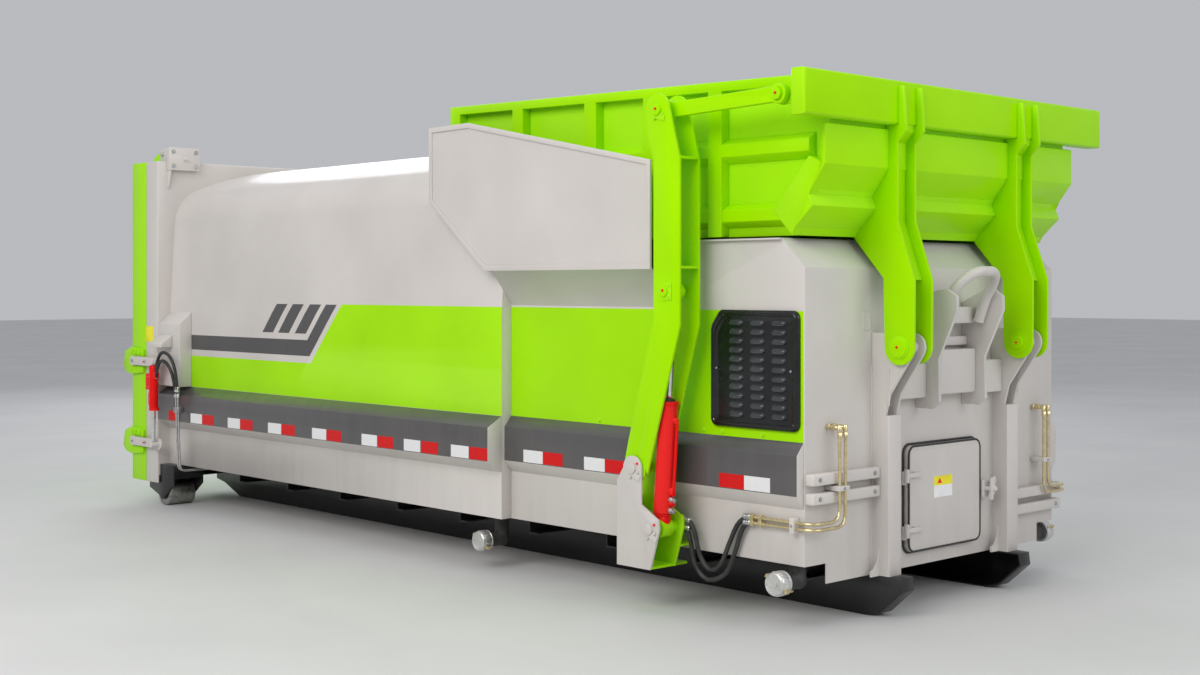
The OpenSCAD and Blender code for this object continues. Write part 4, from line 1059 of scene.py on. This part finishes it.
class COMPACTOR_OT_lines(Undoable, bpy.types.Operator):
    """Hard pipes and hoses of the hydraulics"""

    bl_idname = "compactor.lines"
    bl_label = "Hydraulic lines"

    def execute(self, context):
        corner, side_y, top, tee = 2.934, 1.033, 0.860, 0.880
        slot = slot_of("hydraulic_pipes")
        uprights = (0.855, 0.815)
        routes = [rounded_path([(2.590, -side_y, z), (corner, -side_y, z), (corner, -y, z),
                                (corner, -y, top)], 0.060) for z, y in zip((0.472, 0.446), uprights)]
        sweep("hydraulic_pipes_skin", mirrored(routes), "brass", 0.0078, 0.006, sides=14, slot=slot,
              replaces=("hydraulic_pipes",))

        def elbows(side):
            """A nut and sleeve at the top of each pipe, and its branch through the head's front."""
            parts = []
            for y in (side * upright for upright in uprights):
                parts += [
                    turned(stub(0.0130, 0.020, 0.0105, 0.023), 6, (corner, y, 0.836)),
                    turned(stub(0.0105, 0.030, 0.0075, 0.034), 20, (corner, y, 0.858)),
                    turned(stub(0.0095, 0.074, 0.0070, 0.077), 20, (HEAD_FRONT, y, tee), FORWARD),
                    turned(stub(0.0150, 0.012, 0.0125, 0.014), 6, (2.869, y, tee), FORWARD),
                    turned(stub(0.0130, 0.014, 0.0110, 0.016), 6, (2.899, y, tee), FORWARD),
                ]
            return join(parts)

        piece("pipe_elbows", both_sides(elbows), "brass", slot=slot)
        skin("lift_hoses", "rubber", 0.0001, angle=60)
        return {"FINISHED"}


class COMPACTOR_OT_pins(Undoable, bpy.types.Operator):
    """Pin ends, keeper plates, bolts and grease nipples of every pivot"""

    bl_idname = "compactor.pins"
    bl_label = "Pins and keepers"

    def execute(self, context):
        bracket_face, arm_face, offset, thick, reach = 1.262, 1.245, 0.032, 0.0045, 0.026

        def keepers(name, side, body, finish, face_y, leans):
            """Plates that lock pins, lying beside them on the side plate, with two bolts each."""
            plates, places = [], []
            for pin, lean in leans:
                x, z = PINS[pin]
                x, z = x + offset * math.sin(lean), z - offset * math.cos(lean)
                plate = box((-0.040, 0.040), (-0.014, 0.014), (0, thick), 0.0015)
                plate.transform(Matrix.Translation((x, side * face_y, z))
                                @ Matrix.Rotation(-side * math.pi / 2, 4, "X")
                                @ Matrix.Rotation(side * lean, 4, "Z"))
                plates.append(plate)
                places += [side_spot(side, x + step * math.cos(lean), face_y + thick,
                                     z + step * math.sin(lean)) for step in (-reach, reach)]
            piece(name.format("keepers"), join(plates), finish, body)
            bolts(name.format("keeper_bolts"), 0.0058, places, finish, body)

        bracket_pins = (("arm_foot", 0.5), ("barrel_foot", 0.5))
        arm_pins = (("arm_head", 0.3), ("rod_eye", math.pi / 2))
        for side, hand in HANDS:
            keepers("bracket_{}_" + hand, side, "root", "grey", bracket_face, bracket_pins)
        for side, hand in HANDS:
            keepers("arm_{}_" + hand, side, "arm_" + hand, "lime", arm_face, arm_pins)
        pivot_x, pivot_z = PINS["hopper_pivot"]
        link_x, link_z = PINS["link_end"]
        spots = {"root": [], "arm_left": [], "arm_right": [], "hopper": []}
        for side, hand in HANDS:
            spots["root"] += [side_spot(side, x + 0.036, bracket_face, z + 0.024)
                              for x, z in (PINS["arm_foot"], PINS["barrel_foot"])]
            spots["arm_" + hand] += [side_spot(side, x, 1.257, z + 0.004)
                                     for x, z in (PINS["arm_head"], PINS["rod_eye"])]
            spots["hopper"] += [side_spot(side, link_x, 1.2055, link_z + 0.002),
                                side_spot(side, pivot_x - 0.004, 0.5705, pivot_z + 0.002),
                                (Vector((pivot_x, side * 0.3965, pivot_z)), outward(-side))]
        for body, places in spots.items():
            nipples("nipples_" + body, places, body)
        disc = [(0.052, 0), (0.052, 0.004), (0.044, 0.006), (0.044, 0.010), (0.036, 0.012), (0.0, 0.012)]
        discs = both_sides(lambda side: turned(disc, 40, (pivot_x, side * 0.559, pivot_z), outward(side)))
        piece("pivot_discs", discs, "lime", "hopper")
        return {"FINISHED"}


class COMPACTOR_OT_cylinders(Undoable, bpy.types.Operator):
    """Sleeves, side pipes, port blocks and gland nuts of the lift cylinders"""

    bl_idname = "compactor.cylinders"
    bl_label = "Cylinder fittings"

    def execute(self, context):
        foot, eye = (Vector((x, 0, z)) for x, z in (PINS["barrel_foot"], PINS["rod_eye"]))
        along = (eye - foot).normalized()
        across = Vector((along.z, 0, -along.x))
        ports = (0.180, 0.500)
        band = [(0.040, 0), (0.0425, 0.002), (0.0425, 0.006), (0.040, 0.008), (0, 0.008)]
        for side, hand in HANDS:
            def at(distance, offset=0.0):
                """Point at a distance from the foot pin, and an offset towards the side pipe."""
                return foot + outward(side * LIFT_LANE) + along * distance + across * offset

            body = "barrel_" + hand
            low, high = ports
            route = [at(low, 0.040), at(low, 0.061), at(high, 0.061), at(high, 0.040)]
            sweep("side_pipe_" + hand, [rounded_path(route, 0.016)], "red", 0.0075, 0.006, body=body)
            parts = [turned(stub(0.014, 0.016, 0.010, 0.020), 6, at(port, 0.042), across) for port in ports]
            gland = [(0.0455, 0), (0.0475, 0.003), (0.0475, 0.015), (0.0455, 0.018), (0.0, 0.018)]
            sleeve = [(0.036, 0), (0.0445, 0.004), (0.0445, 0.500), (0.0, 0.502)]
            parts += [turned(gland, 40, at(0.567), along), turned(sleeve, 48, at(0.068), along)]
            parts += [turned(band, 40, at(distance), along) for distance in (0.54, 0.06)]
            piece("cylinder_fittings_" + hand, join(parts), "red", body)
            cap = [(0.0155, 0), (0.0155, 0.012), (0.0125, 0.014), (0.0125, 0.026), (0.009, 0.028), (0, 0.028)]
            caps = [turned(cap, 6, at(distance, 0.044), across) for distance in (0.085, 0.135)]
            piece("port_caps_" + hand, join(caps), "steel", body, "rod_chrome")
            wiper = turned(stub(0.030, 0.006, 0.021, 0.009), 32, at(0.585), along)
            piece("rod_wiper_" + hand, wiper, "gasket", body)
        return {"FINISHED"}


class COMPACTOR_OT_service(Undoable, bpy.types.Operator):
    """Gasket, trim, label, latch wing and hinge bolts of the service door"""

    bl_idname = "compactor.service"
    bl_label = "Service door fittings"

    def execute(self, context):
        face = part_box("service_door")[1].x
        leaf = "service_leaf"
        gasket = rounded_loop(HEAD_FRONT + 0.0035, 0.255, 0.302, 0.717, 0.045)
        trim = rounded_loop(face - 0.001, 0.252, 0.305, 0.714, 0.040)
        crease = rounded_loop(face - 0.0008, 0.262, 0.295, 0.724, 0.012, 30)
        sweep("door_gasket", [gasket], "gasket", 0.0055, 0.008, sides=10)
        sweep("door_edge_trim", [trim], "gasket", 0.0052, 0.008, sides=10, body=leaf)
        straps = []
        for z in (0.365, 0.620):
            straps += [box((face - 0.001, face + 0.011), (-0.300, -0.205), (z - 0.012, z + 0.012), 0.004),
                       turned([(0.0125, 0), (0.0125, 0.062), (0, 0.062)], 20, (2.899, -0.311, z - 0.031))]
        piece("door_hinge_straps", join(straps), "grey", leaf)
        sweep("door_panel_crease", [crease], "grey", 0.0022, 0.01, sides=8, body=leaf)
        split = 0.556
        label = box((face - 0.0002, face + 0.0006), (-0.092, 0.056), (0.500, 0.600), 0.0003, 1)
        cut_by(label, (0, 0, split), UP, lambda _: True)
        for part in label.faces:
            part.material_index = int(part.calc_center_median().z <= split)
        piece("door_label", label, "yellow white", leaf, angle=35)
        sign = plate_yz([(-0.066, 0.566), (-0.028, 0.566), (-0.047, 0.592)], 1, face + 0.0004, face + 0.0010)
        piece("door_label_sign", sign, "red", leaf, "grey_paint")
        bolts("door_hinge_bolts", 0.006, [front_spot(face - 0.0002, -0.262, z + rise) for z in (0.345, 0.600)
                                          for rise in (0.010, 0.030)], body=leaf, slot="grey_paint")
        base = 2.925
        wing = join([
            turned([(0.021, 0), (0.021, 0.014), (0.015, 0.018), (0.009, 0.028), (0, 0.029)], 24,
                   (base, 0.350, 0.508), FORWARD),
            box((base, 2.934), (0.3225, 0.347), (0.452, 0.492), 0.004),
            box((base, 2.934), (0.3530, 0.377), (0.524, 0.566), 0.004),
            box((2.928, 2.937), (0.3350, 0.365), (0.478, 0.538), 0.004),
            box((base, 2.936), (0.3600, 0.392), (0.500, 0.514), 0.004),
        ])
        piece("latch_wing", wing, "grey")
        bolts("latch_bolts", 0.006, [front_spot(2.905, 0.358, z) for z in (0.478, 0.538)])
        return {"FINISHED"}


class COMPACTOR_OT_couplings(Undoable, bpy.types.Operator):
    """Ferrules, nuts and clamps on the hoses and hard pipes"""

    bl_idname = "compactor.couplings"
    bl_label = "Hose couplings"

    def execute(self, context):
        starts = ((2.196, 1.078, 0.428), (2.196, 1.078, 0.392))
        ends = ((2.583, 1.033, 0.472), (2.583, 1.033, 0.446))
        ferrule = [(0.0118, 0), (0.0142, 0.002), (0.0142, 0.010), (0.0134, 0.012), (0.0142, 0.014),
                   (0.0142, 0.022), (0.0134, 0.024), (0.0142, 0.026), (0.0142, 0.036), (0.0118, 0.040),
                   (0, 0.040)]

        def ferrules(side):
            groups = ((starts, 0.014, 0.001, (1, 0, -0.1)), (ends, -0.044, 0.002, (1, 0, 0.06)))
            return join([turned(ferrule, 20, (x + shift, side * y, z - drop), aim)
                         for places, shift, drop, aim in groups for x, y, z in places])

        def nuts(side):
            places = [(x - 0.004, side * y, z) for x, y, z in starts]
            places += [(x + shift, side * y, z) for x, y, z in ends for shift in (-0.004, 0.044)]
            return join([turned(stub(0.0155, 0.016, 0.0135, 0.018), 6, place, FORWARD) for place in places])

        def clamps(side):
            return join([side_box(side, (2.812, 2.836), (1.010, 1.052), (0.424, 0.494), 0.003),
                         side_box(side, (2.866, 2.947), (0.797, 0.873), (0.603, 0.625), 0.003)])

        piece("hose_ferrules", both_sides(ferrules), "steel", slot="zinc_yellow")
        piece("hose_nuts", both_sides(nuts), "brass")
        piece("pipe_clamps", both_sides(clamps), "grey")
        places = []
        for side in SIDES:
            places += [side_spot(side, 2.824, 1.052, 0.459), front_spot(2.947, side * 0.835, 0.614)]
        bolts("clamp_bolts", 0.005, places)
        return {"FINISHED"}


class COMPACTOR_OT_drains(Undoable, bpy.types.Operator):
    """Cast faces, cam levers and rings of the drain caps"""

    bl_idname = "compactor.drains"
    bl_label = "Drain caps"

    def execute(self, context):
        centres = ((2.770, 0.205), (0.730, 0.150))
        collar = stub(0.0535, 0.006, 0.0505, 0.009)
        dish = [(0.0505, 0), (0.0505, 0.004), (0.047, 0.007), (0.041, 0.007), (0.039, 0.003), (0.018, 0.002),
                (0.016, 0.006), (0, 0.007)]

        def set_round(part, side, x, y, z, angle):
            """Turns a part made about +Z to face outward, and then about the cap's axis."""
            part.transform(Matrix.Translation((x, side * y, z)) @ Matrix.Rotation(-side * math.pi / 2, 4, "X")
                           @ Matrix.Rotation(math.radians(angle), 4, "Z"))
            return part

        def faces(side):
            parts = []
            for x, z in centres:
                parts += [turned(profile, 48, (x, side * y, z), outward(side))
                          for profile, y in ((collar, 1.042), (dish, 1.0995))]
                for angle in range(22, 382, 15):
                    lug = box((-0.0025, 0.0025), (0.050, 0.055), (0.006, 0.038), 0.0008, 1)
                    parts.append(set_round(lug, side, x, 1.052, z, angle))
            return join(parts)

        def levers(side):
            parts = []
            for x, z in centres:
                for angle in (-118, 62):
                    ear = box((-0.008, 0.008), (0.053, 0.068), (0.004, 0.030), 0.002)
                    handle = box((-0.005, 0.005), (0.060, 0.065), (-0.022, 0.028), 0.0022)
                    parts += [set_round(part, side, x, 1.062, z, angle) for part in (ear, handle)]
            return join(parts)

        piece("drain_cap_faces", both_sides(faces), "alloy")
        piece("drain_cap_levers", both_sides(levers), "brass")
        return {"FINISHED"}


class COMPACTOR_OT_latches(Undoable, bpy.types.Operator):
    """Valve blocks, hoses, pipes, covers and bolts of the tailgate latches"""

    bl_idname = "compactor.latches"
    bl_label = "Tailgate latches"

    def execute(self, context):
        runs, ports = (-2.335, -2.362), (0.905, 0.880)

        def valves(side):
            blocks = (
                ((-2.680, -2.622), (1.205, 1.262), (0.795, 0.905)),
                ((-2.700, -2.676), (1.215, 1.250), (0.815, 0.850)),
                ((-2.700, -2.676), (1.215, 1.250), (0.862, 0.892)),
                ((-2.652, -2.606), (1.214, 1.256), (0.690, 0.775)),
                ((-2.590, -2.558), (1.222, 1.258), (0.868, 0.914)),
            )
            valve = [(0.010, 0), (0.010, 0.046), (0.013, 0.048), (0.013, 0.060), (0, 0.062)]
            return join([side_box(side, *spans, 0.003) for spans in blocks] + [
                turned(stub(0.034, 0.018, 0.031, 0.021), 36, (-2.600, side * 1.2375, 0.655)),
                turned([(0.033, 0), (0.033, 0.014), (0, 0.014)], 36, (-2.600, side * 1.2375, 0.945)),
                turned(valve, 16, (-2.641, side * 1.232, 0.900)),
            ])

        def covers(side):
            cover = [(1.075, 1.325), (1.166, 1.243), (1.166, 0.835), (1.160, 0.820), (1.075, 0.820)]
            hood = [(1.168, 1.170), (1.250, 1.112), (1.250, 1.084), (1.168, 1.084)]
            return join([plate_yz(cover, side, BODY_REAR, LATCH_COVER_FRONT),
                         plate_yz(hood, side, -2.655, -2.480)])

        def nuts(side):
            ferrule = [(0.0118, 0), (0.0142, 0.002), (0.0142, 0.012), (0.0132, 0.014), (0.0142, 0.016),
                       (0.0142, 0.034), (0.0118, 0.038), (0, 0.038)]
            taper = [(0.0145, 0), (0.0115, 0.030), (0.009, 0.034), (0, 0.034)]
            parts = []
            for x in runs:
                parts += [turned(taper, 6, (x, side * 1.2035, 0.755)),
                          turned(ferrule, 20, (x, side * 1.2045, 0.789), (0, -side * 0.02, 1))]
            swivel = stub(0.0120, 0.016, 0.010, 0.020)
            return join(parts + [turned(swivel, 6, (-2.564, side * 1.242, z - 0.006), (0.2, 0, 0.98))
                                 for z in ports])

        def ear_ribs(side):
            parts = []
            for z in LATCH_LEVELS:
                rib = [(1.189, z + 0.043), (1.216, z + 0.048), (1.207, z + 0.074), (1.189, z + 0.084)]
                parts += [plate_yz(rib, side, x - 0.005, x + 0.005) for x in (-2.992, -2.938, -2.884)]
            return join(parts)

        piece("latch_valves", both_sides(valves), "red")
        hoses = [
            curve_through([(-2.560, -1.242, 0.905), (-2.545, -1.244, 0.985), (-2.480, -1.244, 1.050),
                           (-2.390, -1.236, 1.030), (-2.342, -1.222, 0.940), (-2.335, -1.205, 0.780)]),
            curve_through([(-2.560, -1.242, 0.880), (-2.540, -1.246, 0.945), (-2.485, -1.246, 0.995),
                           (-2.415, -1.238, 0.975), (-2.370, -1.224, 0.900), (-2.362, -1.206, 0.780)]),
        ]
        sweep("latch_hoses", mirrored(hoses), "rubber", context.scene.compactor_sizes.hose, 0.008)
        bm = both_sides(covers)
        round_edges(bm, 0.005, 3)
        stand_in("latch_covers", bm, "grey")
        pipes = [rounded_path([(x, -1.204, 0.790), (x, -1.195, 0.500), (x, -1.186, 0.262),
                               (x, -0.905, 0.262)], 0.05) for x in runs]
        sweep("latch_pipes", mirrored(pipes), "steel", 0.0065, 0.012, slot="zinc_yellow")
        piece("latch_hose_nuts", both_sides(nuts), "steel", slot="zinc_yellow")
        piece("latch_pipe_clamps", both_sides(lambda side: side_box(
            side, (-2.378, -2.319), (1.172, 1.2145), (0.652, 0.690), 0.004)), "steel", slot="zinc_yellow")
        piece("latch_ear_ribs", both_sides(ear_ribs), "lime", "tailgate")
        levels = [(side, z) for side in SIDES for z in LATCH_LEVELS]
        levers = [side_spot(side, x, 1.210, z) for side, z in levels for x in (-2.785, -2.976)]
        blocks = [side_spot(side, x, 1.258, z) for side in SIDES for x in (-2.652, -2.630)
                  for z in (0.815, 0.885)]
        ears = [side_spot(side, x, 1.190, z + rise) for side, z in levels for x in (-3.020, -2.880)
                for rise in (-0.060, 0.060)]
        bolts("latch_lever_bolts", 0.0085, levers)
        bolts("latch_valve_bolts", 0.0045, blocks, slot="red_paint")
        bolts("latch_ear_bolts", 0.0085, ears, "lime", "tailgate", size=0.8)
        nipples("latch_nipples", [side_spot(side, -2.786, 1.219, z) for side, z in levels])
        return {"FINISHED"}


class COMPACTOR_OT_rear_fittings(Undoable, bpy.types.Operator):
    """Hinge bolts, gussets, adjusting screws and labels of the rear frame"""

    bl_idname = "compactor.rear_fittings"
    bl_label = "Hinge fittings"

    def execute(self, context):
        places = []
        for side in SIDES:
            places += [front_spot(-2.635, side * y, z) for y in (0.905, 1.075) for z in (2.325, 2.423)]
            places.append(side_spot(side, -2.800, 1.071, 2.412))
        bolts("hinge_bolts", 0.011, places)

        def gussets(side):
            outline = [(-2.680, 2.296), (-2.640, 2.296), (-2.640, 2.280), (-2.672, 2.170), (-2.680, 2.170)]
            screw = [(0.013, 0), (0.013, 0.016), (0.008, 0.018), (0.008, 0.034), (0, 0.036)]
            return join([plate_xz(outline, side, 1.090, 1.098),
                         turned(screw, 6, (-2.640, side * 0.990, 2.374), FORWARD)])

        piece("hinge_gussets", both_sides(gussets), "grey")
        piece("frame_labels", both_sides(lambda side: side_box(
            side, (-2.848, -2.742), (1.1698, 1.1706), (1.115, 1.222), 0.0002, 1)), "yellow", angle=35)
        return {"FINISHED"}


class COMPACTOR_OT_front_fittings(Undoable, bpy.types.Operator):
    """Column gussets and welds, step bolts, rail bolts and the blank nameplate"""

    bl_idname = "compactor.front_fittings"
    bl_label = "Front fittings"

    def execute(self, context):
        def gussets(side):
            wide, low, high = 0.062, 0.215, 0.095
            curve = [(wide * (1 - math.sin(math.radians(t))), low + high * (1 - math.cos(math.radians(t))))
                     for t in range(15, 91, 15)]
            outline = [(0.0, 0.19), (wide, 0.19), (wide, low)] + curve
            return join([plate_yz([(edge + way * y, z) for y, z in outline], side, 2.900, 2.910)
                         for edge, way in ((0.4375, -1), (0.5325, 1))])

        piece("column_gussets", both_sides(gussets), "grey")
        seams = [[(2.8665, side * y, z) for z in (0.20, 1.14)] for side in SIDES for y in (0.4360, 0.5340)]
        seams += [[(2.9615, side * 0.5335, z) for z in (0.96, 1.13)] for side in SIDES]
        sweep("column_welds", seams, "grey", 0.0036, 0.007, ripple=1.4, sides=8)
        steps = ((-1, 0.658), (-1, 0.575), (1, 0.455), (1, 0.375))
        bolts("step_bolts", 0.0075, [front_spot(2.915, side * y, z) for side, z in steps
                                     for y in (0.575, 0.965)])
        bolts("rail_bolts", 0.0075, [side_spot(side, back(x), HEAD_SIDE, 0.837) for side in SIDES
                                     for x in (1.392, 0.691, 0.573, 0.334)], "lime", size=1.1)
        plate = box((HEAD_FRONT - 0.0002, HEAD_FRONT + 0.0012), (-0.600, -0.545), (1.300, 1.385), 0.0004, 1)
        piece("nameplate", plate, "grey", angle=35)
        rim = [(HEAD_FRONT + 0.0012, y, z) for y, z in ((-0.597, 1.303), (-0.548, 1.303), (-0.548, 1.382),
                                                       (-0.597, 1.382), (-0.597, 1.303))]
        sweep("nameplate_rim", [rim], "grey", 0.0018, 0.004, sides=8)
        return {"FINISHED"}


class COMPACTOR_OT_stage(Undoable, bpy.types.Operator):
    """Floor, lights and camera"""

    bl_idname = "compactor.stage"
    bl_label = "Stage"

    def execute(self, context):
        settings = context.scene.compactor_stage
        scene = context.scene
        scene.view_settings.view_transform = "Standard"
        mesh = bpy.data.meshes.new("floor")
        reach = 60
        mesh.from_pydata([(-reach, -reach, 0), (reach, -reach, 0), (reach, reach, 0), (-reach, reach, 0)], [],
                         [(0, 1, 2, 3)])
        mesh.materials.append(floor_material())
        floor = bpy.data.objects.new("floor", mesh)
        scene.collection.objects.link(floor)
        world = bpy.data.worlds.new("studio")
        world.use_nodes = True
        sky = world.node_tree.nodes["Background"]
        sky.inputs[0].default_value = (0.93, 0.95, 1.0, 1)
        sky.inputs[1].default_value = settings.sky
        scene.world = world

        def softbox(name, place, target, size, share, colour=(1, 1, 1)):
            """A soft light with a share of the main softbox's power."""
            light = bpy.data.lights.new(name, "AREA")
            light.shape = "RECTANGLE"
            light.size, light.size_y = size
            light.energy = settings.key * share
            light.color = colour
            lamp = bpy.data.objects.new(name, light)
            lamp.location = place
            lamp.rotation_euler = (Vector(target) - Vector(place)).to_track_quat("-Z", "Y").to_euler()
            scene.collection.objects.link(lamp)

        softbox("key_softbox", (3.0, -9.5, 6.5), (0, -0.5, 1.0), (8, 5), 1, (1.0, 0.98, 0.95))
        softbox("front_softbox", (10.5, 0.5, 5.0), (2.0, 0, 1.2), (6, 4), 0.35)
        softbox("top_softbox", (0, 0, 9), (0, 0, 1), (12, 8), 0.30)
        softbox("rear_softbox", (-10, 7, 6), (-1, 0, 1.2), (7, 5), 0.5, (0.95, 0.97, 1.0))
        camera = bpy.data.objects.new("camera", bpy.data.cameras.new("camera"))
        camera.location = (7.186, -6.290, 1.500)
        camera.rotation_euler = (math.pi / 2, 0, settings.azimuth)
        camera.data.sensor_width = 36
        camera.data.lens = settings.lens
        camera.data.shift_y = -0.043
        camera.data.clip_end = 200
        scene.collection.objects.link(camera)
        scene.camera = camera
        return {"FINISHED"}


OPERATORS = (
    COMPACTOR_OT_stage, COMPACTOR_OT_finishes, COMPACTOR_OT_container, COMPACTOR_OT_head, COMPACTOR_OT_rails,
    COMPACTOR_OT_tapes, COMPACTOR_OT_vents, COMPACTOR_OT_hopper, COMPACTOR_OT_lift, COMPACTOR_OT_front,
    COMPACTOR_OT_rear, COMPACTOR_OT_underframe, COMPACTOR_OT_lines, COMPACTOR_OT_pins,
    COMPACTOR_OT_cylinders, COMPACTOR_OT_service, COMPACTOR_OT_couplings, COMPACTOR_OT_drains,
    COMPACTOR_OT_latches, COMPACTOR_OT_rear_fittings, COMPACTOR_OT_front_fittings,
)


class COMPACTOR_PT_panel(bpy.types.Panel):
    bl_idname = "COMPACTOR_PT_panel"
    bl_label = "Waste compactor"
    bl_space_type = "VIEW_3D"
    bl_region_type = "UI"
    bl_category = "Compactor"

    def draw(self, context):
        for group in ("compactor_paint", "compactor_sizes", "compactor_stage"):
            settings = getattr(context.scene, group)
            frame_box = self.layout.box()
            for name in settings.__annotations__:
                frame_box.prop(settings, name)
        for operator in OPERATORS:
            self.layout.operator(operator.bl_idname)


CLASSES = (CompactorPaint, CompactorSizes, CompactorStage, *OPERATORS, COMPACTOR_PT_panel)


def register():
    for cls in CLASSES:
        bpy.utils.register_class(cls)
    bpy.types.Scene.compactor_paint = bpy.props.PointerProperty(type=CompactorPaint)
    bpy.types.Scene.compactor_sizes = bpy.props.PointerProperty(type=CompactorSizes)
    bpy.types.Scene.compactor_stage = bpy.props.PointerProperty(type=CompactorStage)


def unregister():
    for name in ("compactor_paint", "compactor_sizes", "compactor_stage"):
        delattr(bpy.types.Scene, name)
    for cls in reversed(CLASSES):
        bpy.utils.unregister_class(cls)


def main():
    register()
    for operator in OPERATORS:
        group, name = operator.bl_idname.split(".")
        getattr(getattr(bpy.ops, group), name)()


if __name__ == "__main__":
    main()
